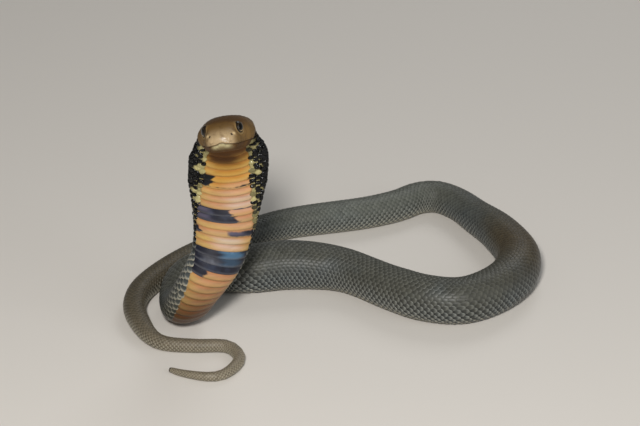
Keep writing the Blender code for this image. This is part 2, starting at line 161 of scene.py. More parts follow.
@dataclass(frozen=True)
class Backbone:
    """The body's centre line, with its directions at any way along it."""

    reared_route: Rows = (
        (-52.4, -45.3, 119.7), (-52.5, -40.5, 116.0), (-52.6, -38.7, 110.4), (-52.6, -38.5, 103.0),
        (-53.3, -39.0, 90.0), (-54.3, -40.6, 75.0), (-55.7, -43.4, 60.5), (-59.1, -46.4, 47.0),
        (-64.9, -47.6, 35.5), (-71.1, -46.0, 24.5), (-75.1, -41.0, 15.6), (-77.5, -31.9, 10.8),
    )
    floor_route: Rows = (
        (-78.1, -20.9), (-75.5, -9.9), (-67.9, -2.0), (-57.1, 1.0), (-45.3, 0.0), (-23.4, 3.8), (4.8, 0.7),
        (32.0, -18.8), (46.7, -27.9), (65.6, -30.9), (81.4, -22.4), (94.2, -6.3), (98.3, 13.8),
        (89.7, 41.3), (78.9, 59.3), (68.8, 74.8), (57.3, 83.1), (47.1, 81.6), (35.9, 73.6), (19.4, 66.0),
        (-31.5, 51.6), (-56.0, 36.3), (-81.8, 14.8), (-99.3, -8.7), (-103.3, -20.6), (-103.3, -32.4),
        (-94.1, -54.5), (-86.8, -60.4), (-70.9, -62.4), (-53.9, -63.1), (-48.0, -73.9), (-54.9, -87.0),
        (-61.2, -89.5), (-76.3, -85.4), (-84.0, -80.6),
    )
    back_facing: Sequence[tuple[float, Sequence[float] | None]] = (
        (0.0, None),
        (8.0, (0.12, 0.55, 0.83)),
        (20.0, (0.14, 0.99, 0.05)),
        (50.0, (0.12, 0.99, 0.0)),
        (66.0, (0.0, 1.0, 0.0)),
        (82.0, (-0.28, 0.96, 0.0)),
        (97.0, (-0.54, 0.84, 0.1)),
        (112.0, (-0.46, 0.76, 0.45)),
        (128.0, (-0.20, 0.42, 0.88)),
        (142.0, (0.0, 0.0, 1.0)),
    )
    girth: Rows = (
        (0.0, 12.6, 6.6), (5.0, 13.4, 6.6), (10.0, 15.4, 6.3), (15.0, 18.4, 6.1), (21.0, 20.5, 6.1),
        (32.0, 20.6, 6.6), (43.0, 18.6, 7.4), (54.0, 16.8, 8.4), (68.0, 14.8, 9.3), (84.0, 13.5, 9.8),
        (122.0, 12.9, 9.8), (150.0, 12.6, 11.2), (200.0, 13.0, 12.6), (245.0, 11.2, 10.9),
        (285.0, 12.0, 11.7), (340.0, 12.1, 11.8), (382.0, 10.8, 10.5), (430.0, 8.8, 8.6), (510.0, 8.6, 8.4),
        (580.0, 7.3, 7.1), (630.0, 6.7, 6.4), (665.0, 5.5, 5.3), (690.0, 3.9, 3.8), (725.0, 3.4, 3.3),
        (755.0, 2.7, 2.6), (775.0, 1.9, 1.8), (788.0, 0.7, 0.7),
    )
    thinness: Rows = ((0.0, 0.0), (10.0, 0.5), (20.0, 1.0), (44.0, 1.0), (84.0, 0.0))
    tip: Rows = (
        (0.0, 0.0), (14.0, 9.0), (30.0, 8.0), (56.0, 3.0), (80.0, 6.0), (98.0, 15.0), (116.0, 9.0),
        (136.0, 0.0),
    )
    head_yaw: float = 3.8
    head_pitch: float = 19.0
    head_roll: float = 9.8
    belly_flat: float = 0.94
    settling: float = 14.0
    first_floor_height: float = 10.0
    neck_blend: float = 5.0
    lead_in: float = 6.0
    route_step: float = 0.25
    points_per_span: int = 40
    vent_from_tip: float = 118.0
    marks: np.ndarray = field(init=False)
    line: np.ndarray = field(init=False)
    back: np.ndarray = field(init=False)
    side: np.ndarray = field(init=False)

    def __post_init__(self) -> None:
        """Works the centre line and its directions out."""
        forward, _, up = self.head_axes()
        floor = [(x, y, self.first_floor_height) for x, y in self.floor_route]
        line = self._smooth_route(np.array([*self.reared_route, *floor]), forward)
        run = np.linalg.norm(np.diff(line, axis=0), axis=1).sum()
        marks = np.linspace(0.0, run, len(line))
        lies_from = marks[np.argmin(np.linalg.norm(line - floor[0], axis=1))]
        lies = ease(marks, lies_from - self.settling, lies_from)
        line[:, 2] = line[:, 2] * (1 - lies) + table_at(self.girth, marks)[:, 1] * self.belly_flat * lies
        start = np.clip(1.0 - marks / self.neck_blend, 0.0, 1.0)[:, None]
        ahead = unit(unit(np.gradient(line, axis=0)) * (1 - start) - forward * start)
        facing = np.array([(at, *(up if way is None else way)) for at, way in self.back_facing])
        back = table_at(facing, marks)
        back = unit(back - np.sum(back * ahead, axis=1, keepdims=True) * ahead)
        side = np.cross(ahead, back)
        tip = np.radians(table_at(self.tip, marks))
        for name, value in (
            ("marks", marks),
            ("line", line),
            ("back", back),
            ("side", side * np.cos(tip) - np.cross(back, side) * np.sin(tip)),
        ):
            object.__setattr__(self, name, value)

    @property
    def length(self) -> float:
        """Length of the centre line from the head joint to the tail tip."""
        return float(self.marks[-1])

    @property
    def vent(self) -> float:
        """Way to the vent, where the tail begins."""
        return self.length - self.vent_from_tip

    def head_axes(self) -> tuple[np.ndarray, np.ndarray, np.ndarray]:
        """Works the head's turn out.

        Returns:
            The forward, sideways and up directions of the head.
        """
        yaw, pitch, roll = (math.radians(a) for a in (self.head_yaw, self.head_pitch, self.head_roll))
        level_forward = np.array([-math.sin(yaw), -math.cos(yaw), 0.0])
        forward = level_forward * math.cos(pitch) + np.array([0.0, 0.0, math.sin(pitch)])
        level = np.array([math.cos(yaw), -math.sin(yaw), 0.0])
        up = np.cross(forward, level)
        side = level * math.cos(roll) + up * math.sin(roll)
        return forward, side, up * math.cos(roll) - level * math.sin(roll)

    def _smooth_route(self, points: np.ndarray, forward: np.ndarray) -> np.ndarray:
        """Draws a smooth, evenly stepped curve through the points.

        Args:
            points: The route's own points.
            forward: The direction from the head joint to the snout, which the curve comes from.

        Returns:
            The curve's points, one every route_step.
        """
        chain = np.vstack([points[:1] + forward * self.lead_in, points, 2 * points[-1:] - points[-2:-1]])
        spans = []
        for a, b, c, d in zip(chain[:-3], chain[1:-2], chain[2:-1], chain[3:]):
            gaps = [math.sqrt(np.linalg.norm(q - p)) for p, q in ((a, b), (b, c), (c, d))]
            k = np.cumsum([0.0, *gaps])
            t = np.linspace(k[1], k[2], self.points_per_span, endpoint=False)[:, None]
            ab = (k[1] - t) / k[1] * a + t / k[1] * b
            bc = (k[2] - t) / (k[2] - k[1]) * b + (t - k[1]) / (k[2] - k[1]) * c
            cd = (k[3] - t) / (k[3] - k[2]) * c + (t - k[2]) / (k[3] - k[2]) * d
            abc = (k[2] - t) / k[2] * ab + t / k[2] * bc
            bcd = (k[3] - t) / (k[3] - k[1]) * bc + (t - k[1]) / (k[3] - k[1]) * cd
            spans.append((k[2] - t) / (k[2] - k[1]) * abc + (t - k[1]) / (k[2] - k[1]) * bcd)
        line = np.vstack([*spans, points[-1:]])
        run = run_along(line)
        even = np.linspace(0.0, run[-1], int(run[-1] / self.route_step) + 1)
        return np.column_stack([np.interp(even, run, line[:, k]) for k in range(3)])

    def at(self, way: float) -> tuple[np.ndarray, np.ndarray, np.ndarray]:
        """Reads the centre line.

        Args:
            way: Way along the body.

        Returns:
            The place, the side direction and the back direction.
        """
        read = []
        for column in (self.line, self.side, self.back):
            read.append(np.array([np.interp(way, self.marks, column[:, k]) for k in range(3)]))
        return read[0], unit(read[1]), unit(read[2])


@dataclass(frozen=True)
class BodyForm:
    """The outline round the body at any way along it."""

    bone: Backbone
    coat_depth: float = 0.26
    coat_part: float = 0.1
    fullness: float = 0.92
    hood_sharpness: float = 0.75
    hood_edge_forward: float = 1.6
    plate_reach: Rows = (
        (-16.0, 0.62), (0.0, 0.58), (10.0, 0.51), (20.0, 0.53), (28.0, 0.57), (35.0, 0.62), (42.0, 0.70),
        (50.0, 0.83), (56.0, 0.90), (64.0, 0.96), (80.0, 0.95), (112.0, 0.90), (128.0, 0.80), (146.0, 0.52),
        (170.0, 0.44), (800.0, 0.44),
    )
    joint_level: float = -17.0
    bow_rows: Rows = (
        (-10.0, 0.8), (5.0, 1.6), (20.0, 2.2), (45.0, 1.6), (70.0, 0.7), (110.0, 0.5), (800.0, 0.4),
    )

    def angles(self, turns: np.ndarray) -> np.ndarray:
        """Gives the angle round the body for turns from -1, the belly, over 0 to 1, the back."""
        level = self.joint_level
        return np.where(turns >= 0, level + (90.0 - level) * turns, level + (90.0 + level) * turns)

    def outline(self, way: float, turns: np.ndarray) -> tuple[np.ndarray, np.ndarray]:
        """Gives sideways and backward offsets of the bare skin on the left side.

        Args:
            way: Way along the body.
            turns: Where round the body, from -1 at the belly to 1 at the back.

        Returns:
            Sideways offsets and backward offsets.
        """
        half_width, half_depth = table_at(self.bone.girth, way)[0]
        inset = min(self.coat_depth, half_depth * self.coat_part)
        thin = value_at(self.bone.thinness, way)[0]
        angle = np.radians(self.angles(turns))
        across, deep = np.maximum(np.cos(angle), 0.0), np.sin(angle)
        sideways = across**self.fullness * (half_width - inset)
        power = self.fullness + self.hood_sharpness * thin
        backward = np.sign(deep) * np.abs(deep) ** power * (half_depth - inset)
        return sideways, backward - self.hood_edge_forward * thin * across**3

    def ring(self, way: float, turns: np.ndarray) -> np.ndarray:
        """Gives the points round the body, from the belly up the left side and down the right side.

        Args:
            way: Way along the body.
            turns: Where round the left side, from -1 at the belly to 1 at the back.

        Returns:
            Model points, in millimetres.
        """
        place, side, back = self.bone.at(way)
        sideways, backward = self.outline(way, turns)
        sideways = np.concatenate([sideways, -sideways[-2:0:-1]])
        backward = np.concatenate([backward, backward[-2:0:-1]])
        points = place + np.outer(sideways, side) + np.outer(backward, back)
        points[:, 2] = np.maximum(points[:, 2], self.coat_depth)
        return points

    def belly_edge_turn(self, way: float) -> float:
        """Works out where the belly plates end, from their share of the half width.

        Args:
            way: Way along the body.

        Returns:
            The turn at their edge.
        """
        reach = value_at(self.plate_reach, way)[0]
        angle = -math.degrees(math.acos(reach ** (1 / self.fullness)))
        level = self.joint_level
        return (angle - level) / (90.0 + level) if angle < level else (angle - level) / (90.0 - level)


@dataclass(frozen=True)
class HeadForm:
    """The head's surface, in its own directions: forward from the joint, to its left side, and up."""

    bone: Backbone
    body: BodyForm
    stations: Rows = (
        (0.0, 12.6, 6.6, -2.0, -6.6, 2.3), (7.0, 14.4, 7.1, -3.5, -7.8, 2.2),
        (14.0, 15.1, 7.55, -4.1, -8.6, 2.25), (20.0, 13.9, 7.75, -3.9, -8.2, 2.4),
        (26.0, 11.1, 7.6, -3.6, -7.2, 2.65), (31.0, 9.6, 6.8, -3.2, -6.2, 2.7),
        (34.0, 8.7, 5.8, -2.9, -5.5, 2.5), (36.3, 7.6, 4.6, -2.5, -4.5, 2.3),
        (37.9, 6.1, 3.2, -2.1, -3.8, 2.2), (38.7, 4.4, 1.8, -1.8, -3.1, 2.1),
        (39.0, 2.2, 0.4, -1.5, -2.3, 2.0),
    )
    length: float = 39.0
    blend: float = 7.0
    level_power: float = 1.25
    eye_radius: float = 3.0
    eye_flatness: float = 0.62
    eye_place: tuple[float, float, float] = (27.8, 8.1, 4.05)
    eye_looks: tuple[float, float, float] = (0.50, 0.86, 0.13)
    nostril_place: tuple[float, float, float] = (36.4, 5.7, 2.7)
    nostril_width: float = 0.7
    nostril_depth: float = 0.9
    nostril_fold: tuple[float, float, float] = (-1.1, 1.0, 0.0)
    # Width of the painted highlight beside each nostril.
    nostril_highlight_width: float = 0.75
    labial_height: float = 2.8
    labial_fade: float = 0.8
    labial_side: Span = (5.5, 7.5)
    jaw_corner: float = 11.0
    mouth_fade: float = 4.0
    lip_groove: float = 0.42
    lip_groove_width: float = 0.26
    lip_bulge: float = 0.16
    lip_bulge_width: float = 0.6
    lip_bulge_from_mouth: float = 0.8
    orbit_reach: float = 4.6
    orbit_depth: float = 0.75
    orbit_fade: float = 3.6
    orbit_limit: float = 0.2
    rim_raise: float = 0.32
    rim_radius: float = 3.15
    rim_width: float = 0.42
    lid_line: float = 2.62
    lid_line_width: float = 0.2
    lid_offset: float = 0.1
    lid_before: Span = (-1.0, 3.0)
    lid_least: float = 0.35
    brow_raise: float = 0.5
    brow_above_eye: float = 3.7
    brow_width: float = 1.2
    brow_length: float = 5.2
    socket_depth: float = 0.9
    socket_rim: Span = (-0.75, -0.3)
    shield_groove: float = 0.06
    shield_groove_width: float = 0.24
    shield_pillow: float = 0.03
    shield_pillow_width: float = 0.9
    shields_end: float = 8.0
    shields_fade: float = 3.0
    jaw_span: float = 0.25
    jaw_tuck: float = 0.10
    cheek_tuck: float = 0.14
    cheek_level: float = 0.6
    jaw_square: float = 0.7
    notch_rise: float = 0.6
    notch_width: float = 1.5
    notch_from: float = 37.6
    crown_level: Span = (0.45, 0.92)
    crown_fade: float = 0.7
    crown_end: Span = (24.0, 33.0)
    least_crown: float = 0.5
    snout_slope: float = 0.45
    snout_slant: Span = (7.8, 15.5)
    snout_along: Span = (27.0, 36.5)
    snout_across: Span = (4.8, 8.4)
    chin_down: Span = (-0.05, 0.15)
    chin_along: Span = (4.0, 14.0)
    chin_front_along: Span = (29.0, 36.0)
    chin_front_across: Span = (2.8, 6.4)
    chin_front_down: Span = (0.8, 2.6)
    middle_shields: Rows = (
        (39.4, 0.0, 0.7, 2.2), (27.4, 0.0, 8.0, 3.0), (38.8, 0.0, -2.8, 0.9), (23.6, 0.0, -6.8, 1.4),
        (17.0, 0.0, -7.2, 1.4), (11.0, 0.0, -7.3, 1.4),
    )
    side_shields: Rows = (
        (37.3, 2.1, 4.7, 1.7), (33.3, 3.3, 6.6, 2.6), (27.4, 5.9, 7.2, 2.6), (18.6, 4.6, 8.1, 5.2),
        (37.4, 5.9, 2.4, 1.3), (35.2, 7.7, 2.8, 1.5), (31.8, 8.4, 3.6, 1.8), (22.9, 10.2, 6.0, 1.4),
        (22.5, 11.7, 3.2, 1.4), (23.4, 11.9, 0.5, 1.2), (18.4, 11.0, 5.8, 2.2), (18.2, 13.2, 1.6, 2.2),
        (13.6, 11.0, 6.2, 2.0), (13.8, 13.4, 3.4, 2.0), (13.4, 14.3, 0.2, 2.0), (36.0, 7.4, -0.4, 1.4),
        (33.1, 8.7, -0.8, 1.5), (29.9, 9.7, -1.2, 1.6), (26.2, 10.9, -1.7, 1.9), (22.0, 12.4, -2.3, 2.0),
        (17.6, 13.7, -2.5, 2.0), (13.2, 14.2, -2.5, 2.0), (37.9, 2.9, -3.0, 1.2), (36.4, 6.2, -3.5, 1.3),
        (33.8, 7.8, -4.0, 1.3), (30.8, 8.8, -4.4, 1.3), (27.4, 9.8, -4.9, 1.4), (23.4, 11.1, -5.4, 1.5),
        (19.0, 12.4, -5.7, 1.5), (14.6, 13.1, -5.9, 1.5), (33.4, 2.6, -5.1, 2.4), (27.4, 2.7, -6.1, 2.4),
        (23.2, 5.4, -6.7, 1.4), (20.2, 2.7, -7.0, 1.4), (19.4, 8.3, -6.7, 1.4), (16.8, 5.6, -7.1, 1.4),
        (14.0, 2.8, -7.3, 1.4), (13.2, 8.6, -7.0, 1.4), (10.6, 5.7, -7.3, 1.4),
    )

    def ring(self, forward_by: float, turns: np.ndarray, shrink: float = 1.0) -> np.ndarray:
        """Gives plain points round the head, from the chin up the left side and down the right side.

        Args:
            forward_by: Distance forward of the joint.
            turns: Where round the head, from -1 at the chin over 0 at the mouth line to 1 at the crown.
            shrink: Draws the ring together round the mouth line, to close the snout.

        Returns:
            The points as forward, sideways and up.
        """
        half_width, crown, mouth, chin, square = table_at(self.stations, forward_by)[0]
        level = np.minimum(np.sin(np.abs(turns) * math.pi / 2) ** self.level_power, 1.0)
        below = ease(-turns, 0.0, self.jaw_span)
        square = square + self.jaw_square * below
        sideways = half_width * (1 - level**square) ** (1 / square)
        sideways = sideways * (1 - self.jaw_tuck * below)
        tucked = np.where(turns > 0, 1 - level / self.cheek_level, 1.0)
        sideways = sideways * (1 - self.cheek_tuck * np.clip(tucked, 0.0, 1.0) ** 2)
        upward = np.where(turns > 0, mouth + level * (crown - mouth), mouth - level * (mouth - chin))
        if forward_by < self.blend:
            keep = float(ease(np.array(forward_by), 0.0, self.blend))
            body_side, body_up = self.body.outline(0.0, turns)
            sideways = sideways * keep + body_side * (1 - keep)
            upward = upward * keep + body_up * (1 - keep)
        sideways, upward = sideways * shrink, mouth + (upward - mouth) * shrink
        left = np.column_stack([np.full(len(turns), forward_by), sideways, upward])
        return np.vstack([left, left[-2:0:-1] * np.array([1.0, -1.0, 1.0])])

    def shaped(self, rings: np.ndarray) -> tuple[np.ndarray, Marks]:
        """Presses and raises the lips, orbits, brows, sockets, nostrils and shields.

        Args:
            rings: Plain rings, from the snout to the joint.

        Returns:
            The shaped rings, and what the finish reads at each point.
        """
        outward = self._outward(rings)
        lip, parting = self._lips(rings)
        shield, seam, pick = self._shields(rings)
        nostril = self._near_pair(rings, self.nostril_place)
        pit = bump(nostril, self.nostril_width)
        relief = lip + shield * (1 - parting) - pit * self.nostril_depth
        plain = rings
        rings, socket, lid = self._orbits(rings + outward * relief[..., None])
        tones = self._tones(plain)
        beside = np.array(self.nostril_place) + np.array(self.nostril_fold)
        marks = {
            "seam": seam * (1 - socket) * (0.2 + 0.8 * self._labial(plain)),
            "mouth": parting,
            "pick": 0.5 + (pick - 0.5) * (1 - tones["chin_front"]),
            # Painted shade: the nostril pits and the eye sockets are painted near black.
            "pit": np.maximum(pit, socket),
            "lid": lid,
            # Painted highlight: a pale spot beside each nostril, where its rim catches the light.
            "nostril_highlight": bump(self._near_pair(plain, beside), self.nostril_highlight_width),
        }
        marks.update(tones)
        return rings, marks

    def _mouth(self, rings: np.ndarray) -> np.ndarray:
        """Works out the mouth line, with the notch in the middle of the upper lip.

        Args:
            rings: Points of the head.

        Returns:
            The mouth line's height at every point.
        """
        forward_by, side = rings[..., 0], rings[..., 1]
        line = table_at(self.stations, forward_by.ravel())[:, 2].reshape(forward_by.shape)
        notch = bump(side**2, self.notch_width**2) * ease(forward_by, self.notch_from, self.length)
        return line + self.notch_rise * notch

    def _tones(self, rings: np.ndarray) -> Marks:
        """Tells how far each point takes the colours of the crown, the snout and the chin.

        Args:
            rings: Points of the head.

        Returns:
            Named values from 0 to 1.
        """
        forward_by, side, up = rings[..., 0], np.abs(rings[..., 1]), rings[..., 2]
        mouth = self._mouth(rings)
        crown = table_at(self.stations, forward_by.ravel())[:, 1].reshape(mouth.shape)
        level = (up - mouth) / np.maximum(crown - mouth, self.least_crown)
        face = ease(self.snout_slope * forward_by - up, *self.snout_slant)
        face = face * ease(forward_by, *self.snout_along) * (1 - ease(side, *self.snout_across))
        below = ease(mouth - up, *self.chin_down) * ease(forward_by, *self.chin_along)
        front = ease(forward_by, *self.chin_front_along) * (1 - ease(side, *self.chin_front_across))
        fade = 1 - self.crown_fade * ease(forward_by, *self.crown_end)
        return {
            "crown_rise": ease(level, *self.crown_level) * fade,
            "snout_share": face * (1 - below),
            "chin_share": below,
            # Lower down, the pale chin gives way to the painted shade under the head.
            "chin_front": front * (1 - ease(mouth - up, *self.chin_front_down)),
        }

    def _labial(self, rings: np.ndarray) -> np.ndarray:
        """Tells which points are on the shields along the sides of the lips."""
        above = np.abs(rings[..., 2] - self._mouth(rings)) - self.labial_height
        return (1 - ease(above, -self.labial_fade, 0.0)) * ease(np.abs(rings[..., 1]), *self.labial_side)

    def _outward(self, rings: np.ndarray) -> np.ndarray:
        """Gives outward directions at every point."""
        around = np.roll(rings, -1, axis=1) - np.roll(rings, 1, axis=1)
        return unit(np.cross(np.gradient(rings, axis=0), around))

    def _lips(self, rings: np.ndarray) -> tuple[np.ndarray, np.ndarray]:
        """Shapes the lips.

        Args:
            rings: Points of the head.

        Returns:
            The rise of the lips, and how near the line between them is.
        """
        forward_by = rings[..., 0]
        from_mouth = np.abs(rings[..., 2] - self._mouth(rings))
        opens = ease(forward_by, self.jaw_corner, self.jaw_corner + self.mouth_fade)
        parting = bump(from_mouth, self.lip_groove_width) * opens
        swell = self.lip_bulge * bump(from_mouth - self.lip_bulge_from_mouth, self.lip_bulge_width) * opens
        return swell - self.lip_groove * parting, parting

    def _near_pair(self, rings: np.ndarray, place: Sequence[float]) -> np.ndarray:
        """Gives the distance to a place that is on both sides of the head."""
        mirrored = np.stack([rings[..., 0], np.abs(rings[..., 1]), rings[..., 2]], axis=-1)
        return np.linalg.norm(mirrored - np.array(place), axis=-1)

    def _shields(self, rings: np.ndarray) -> tuple[np.ndarray, np.ndarray, np.ndarray]:
        """Lays the head's shields out, each the ground nearest to its own seed.

        Args:
            rings: Points of the head.

        Returns:
            The relief of the shields, the grooves between them, and each shield's tint.
        """
        seeds = [(*row, 0) for row in self.middle_shields]
        seeds += [(f, s * hand, u, size, 1) for f, s, u, size in self.side_shields for hand in (1, -1)]
        table = np.array(seeds, float)
        points = rings.reshape(-1, 3)
        nearest = ((table[:, None, :3] - points[None, ::3]) ** 2).sum(-1).argmin(axis=1)
        table[:, :3] = points[::3][nearest]
        power = ((points[:, None, :] - table[None, :, :3]) ** 2).sum(-1) - table[None, :, 3] ** 2
        order = np.argpartition(power, 2, axis=1)[:, :3]
        nearest = np.take_along_axis(power, order, axis=1)
        sort = np.argsort(nearest, axis=1)
        order = np.take_along_axis(order, sort, axis=1)
        nearest = np.take_along_axis(nearest, sort, axis=1)
        apart = [np.linalg.norm(table[order[:, 0], :3] - table[order[:, k], :3], axis=1) for k in (1, 2)]
        edges = [(nearest[:, k] - nearest[:, 0]) / (2 * apart[k - 1]) for k in (1, 2)]
        edge = np.minimum(edges[0], edges[1]).reshape(rings.shape[:2])
        here = ease(rings[..., 0], self.shields_end, self.shields_end + self.shields_fade)
        groove = bump(edge, self.shield_groove_width) * here
        pillow = (1 - np.exp(-edge / self.shield_pillow_width)) * here
        tint = np.random.default_rng(RNG_SEED).random(len(table))[order[:, 0]].reshape(edge.shape)
        return self.shield_pillow * pillow - self.shield_groove * groove, groove, tint

    def _orbits(self, rings: np.ndarray) -> tuple[np.ndarray, np.ndarray, np.ndarray]:
        """Flattens the head round each eye, raises the lids and the brow, and sinks the socket.

        Args:
            rings: Points of the head.

        Returns:
            The shaped points, how dark each is in a socket, and how pale on a lid.
        """
        socket = np.zeros(rings.shape[:2])
        lid = np.zeros(rings.shape[:2])
        for hand in (1.0, -1.0):
            mirror = np.array([1.0, hand, 1.0])
            looks = unit(np.array(self.eye_looks) * mirror)
            away = rings - np.array(self.eye_place) * mirror
            height = away @ looks
            flat = away - height[..., None] * looks
            reach = np.linalg.norm(flat, axis=-1)
            beside = (rings[..., 1] * hand > 0) * 1.0
            fade = np.clip(1.0 + height / self.orbit_fade, 0.0, 1.0)
            near = np.exp(-((reach / self.orbit_reach) ** 4)) * beside * fade
            here = near > self.orbit_limit
            rim = self.rim_raise * bump(reach - self.rim_radius, self.rim_width)
            brow = bump(flat[..., 2] - self.brow_above_eye, self.brow_width)
            brow = brow * bump(flat[..., 0], self.brow_length)
            inside = (1 - ease(reach - self.eye_radius, *self.socket_rim)) * here
            rise = near * (self.orbit_depth - height) + (rim + self.brow_raise * brow) * beside
            rings = rings + looks * (rise - self.socket_depth * inside)[..., None]
            line = bump(reach - self.lid_line, self.lid_line_width) * here
            socket = np.maximum(socket, np.maximum(inside, line))
            before = ease(flat[..., 0] - flat[..., 2], *self.lid_before)
            pale = bump(reach - self.rim_radius - self.lid_offset, self.rim_width) * here
            lid = np.maximum(lid, pale * (self.lid_least + (1 - self.lid_least) * before))
        return rings, socket, lid

    def place(self, points: np.ndarray) -> np.ndarray:
        """Turns head points into model points."""
        return np.array(self.bone.reared_route[0]) + points @ np.array(self.bone.head_axes())


@dataclass
class Surface:
    """The skin as rings of points, and places on it by way and share."""

    bone: Backbone
    body: BodyForm
    head: HeadForm
    turns_below: int = 40
    turns_above: int = 80
    head_step: float = 0.29
    nose_rings: int = 7
    nose_least: float = 0.1
    trial_rings: int = 1200
    trial_turns: int = 6
    trial_share: float = 0.75
    nape_end: float = 26.0
    nape_step: float = 0.8
    body_step: float = 4.4
    tip_length: float = 18.0
    tip_step: float = 1.5
    tip_end: float = 0.5
    share_steps: int = 120
    edge_first: float = -16.0
    edge_step: float = 4.0
    ways: np.ndarray = field(init=False)
    points: np.ndarray = field(init=False)
    normals: np.ndarray = field(init=False)
    head_marks: Marks = field(init=False)

    def __post_init__(self) -> None:
        """Builds the rings and the tables that place() reads."""
        below = np.linspace(-1.0, 0.0, self.turns_below, endpoint=False)
        self.turns = np.concatenate([below, np.linspace(0.0, 1.0, self.turns_above + 1)])
        forwards = self._even_forwards()
        shrinks = np.linspace(self.nose_least, 1.0, self.nose_rings, endpoint=False)
        steps = [*((self.head.length, shrink) for shrink in shrinks), *((f, 1.0) for f in forwards)]
        plain = np.array([self.head.ring(f, self.turns, shrink) for f, shrink in steps])
        shaped, self.head_marks = self.head.shaped(plain)
        length = self.bone.length
        body_ways = np.concatenate([
            np.arange(0.0, self.nape_end, self.nape_step),
            np.arange(self.nape_end, length - self.tip_length, self.body_step),
            np.arange(length - self.tip_length, length - self.tip_end, self.tip_step),
        ])
        rings = np.array([self.body.ring(way, self.turns) for way in body_ways])
        self.points = np.vstack([self.head.place(shaped), rings])
        self.ways = np.concatenate([[-f for f, _ in steps], body_ways])
        self.normals = self._normals()
        self._tabulate()

    def _even_forwards(self) -> np.ndarray:
        """Spaces the head's rings evenly over its surface.

        Returns:
            The rings' distances forward of the joint.
        """
        trial = self.head.length * (1 - np.linspace(0.0, 1.0, self.trial_rings) ** 2)
        rings = np.array([self.head.ring(f, self.turns[:: self.trial_turns]) for f in trial])
        steps = np.linalg.norm(np.diff(rings, axis=0), axis=2)
        run = np.concatenate([[0.0], np.cumsum(np.quantile(steps, self.trial_share, axis=1))])
        return np.interp(np.arange(0.0, run[-1], self.head_step), run, trial)

    @property
    def count(self) -> int:
        """Number of points round a ring."""
        return self.points.shape[1]

    def _normals(self) -> np.ndarray:
        """Gives outward directions at every point of the rings."""
        around = np.roll(self.points, -1, axis=1) - np.roll(self.points, 1, axis=1)
        return unit(np.cross(np.gradient(self.points, axis=0), around))

    def _tabulate(self) -> None:
        """Lays each side of every ring out in even shares from the back to the belly."""
        crown = len(self.turns) - 1
        left = np.arange(crown, -1, -1)
        right = (crown + np.arange(crown + 1)) % self.count
        shares = np.linspace(0.0, 1.0, self.share_steps + 1)
        rows = len(self.points)
        self.side_points = np.zeros((2, rows, self.share_steps + 1, 3))
        self.side_normals = np.zeros_like(self.side_points)
        self.half_girth = np.zeros((2, rows))
        self.point_share = np.zeros((rows, self.count))
        for hand, order in enumerate((left, right)):
            for row in range(rows):
                line = self.points[row, order]
                run = run_along(line)
                total = max(run[-1], TINY)
                self.half_girth[hand, row] = total
                self.point_share[row, order] = (run / total) * (1 if hand == 0 else -1)
                index = np.interp(shares, run / total, np.arange(len(order)))
                normals = self.normals[row, order]
                for target, source in ((self.side_points, line), (self.side_normals, normals)):
                    for axis in range(3):
                        target[hand, row, :, axis] = np.interp(index, np.arange(len(order)), source[:, axis])

    def rows_at(self, ways: np.ndarray) -> np.ndarray:
        """Gives the ring number, with its fraction, at each way."""
        order = np.maximum.accumulate(self.ways + np.arange(len(self.ways)) * 1e-9)
        return np.interp(ways, order, np.arange(len(self.ways)))

    def girth_at(self, ways: np.ndarray) -> np.ndarray:
        """Gives the distance over the skin from the middle of the back to the middle of the belly."""
        return np.interp(self.rows_at(ways), np.arange(len(self.ways)), self.half_girth.mean(axis=0))

    def belly_edge_at(self, ways: np.ndarray) -> np.ndarray:
        """Works out where the belly plates end.

        Args:
            ways: Ways along the snake.

        Returns:
            The share at their edge for each way.
        """
        sample = np.arange(self.edge_first, self.bone.length, self.edge_step)
        edges = []
        for way, row in zip(sample, self.rows_at(sample)):
            shares = self.point_share[int(round(row)), : len(self.turns)]
            edges.append(np.interp(self.body.belly_edge_turn(way), self.turns, shares))
        return np.interp(ways, sample, edges)

    def place(self, ways: np.ndarray, shares: np.ndarray, heights: np.ndarray) -> np.ndarray:
        """Places points over the skin.

        Args:
            ways: Ways along the snake.
            shares: Shares round the body, which may pass the middle of the back or of the belly.
            heights: Distances out from the skin.

        Returns:
            Model points, in millimetres.
        """
        shares = wrapped(shares)
        hand = (shares < 0).astype(int)
        row = np.clip(self.rows_at(ways), 0, len(self.ways) - 1 - TINY)
        column = np.clip(np.abs(shares) * self.share_steps, 0, self.share_steps - TINY)
        r0, c0 = row.astype(int), column.astype(int)
        r1 = np.minimum(r0 + 1, len(self.ways) - 1)
        fr, fc = (row - r0)[..., None], (column - c0)[..., None]

        def read(table: np.ndarray) -> np.ndarray:
            """Reads a table between its rings and shares."""
            near = table[hand, r0, c0] * (1 - fc) + table[hand, r0, c0 + 1] * fc
            far = table[hand, r1, c0] * (1 - fc) + table[hand, r1, c0 + 1] * fc
            return near * (1 - fr) + far * fr

        return read(self.side_points) + unit(read(self.side_normals)) * heights[..., None]


class Tone(Enum):
    """A colour that patches of the belly take, by the name of the value that the finish reads."""

    BAR = "bar"
    SKY = "sky"
    FROST = "frost"
    # Painted sheen: lilac on the crests of the dark bars' plates.
    VIOLET_SHEEN = "violet_sheen"
    PINK = "pink"
    LEMON = "lemon"
    THROAT = "throat"
    # Painted shade: dark brown where the head shades the throat.
    THROAT_SHADE = "throat_shade"


@dataclass(frozen=True)
class Patch:
    """A patch of one tone on the belly plates.

    It reaches from one way to another, and across the plates from -1, their edge on the snake's right
    side, to 1.
    """

    tone: Tone
    first: float
    last: float
    right_edge: float
    left_edge: float
    depth: float = 1.0
    blur_along: float = 0.3
    blur_across: float = 0.06
    whole_plates: bool = True


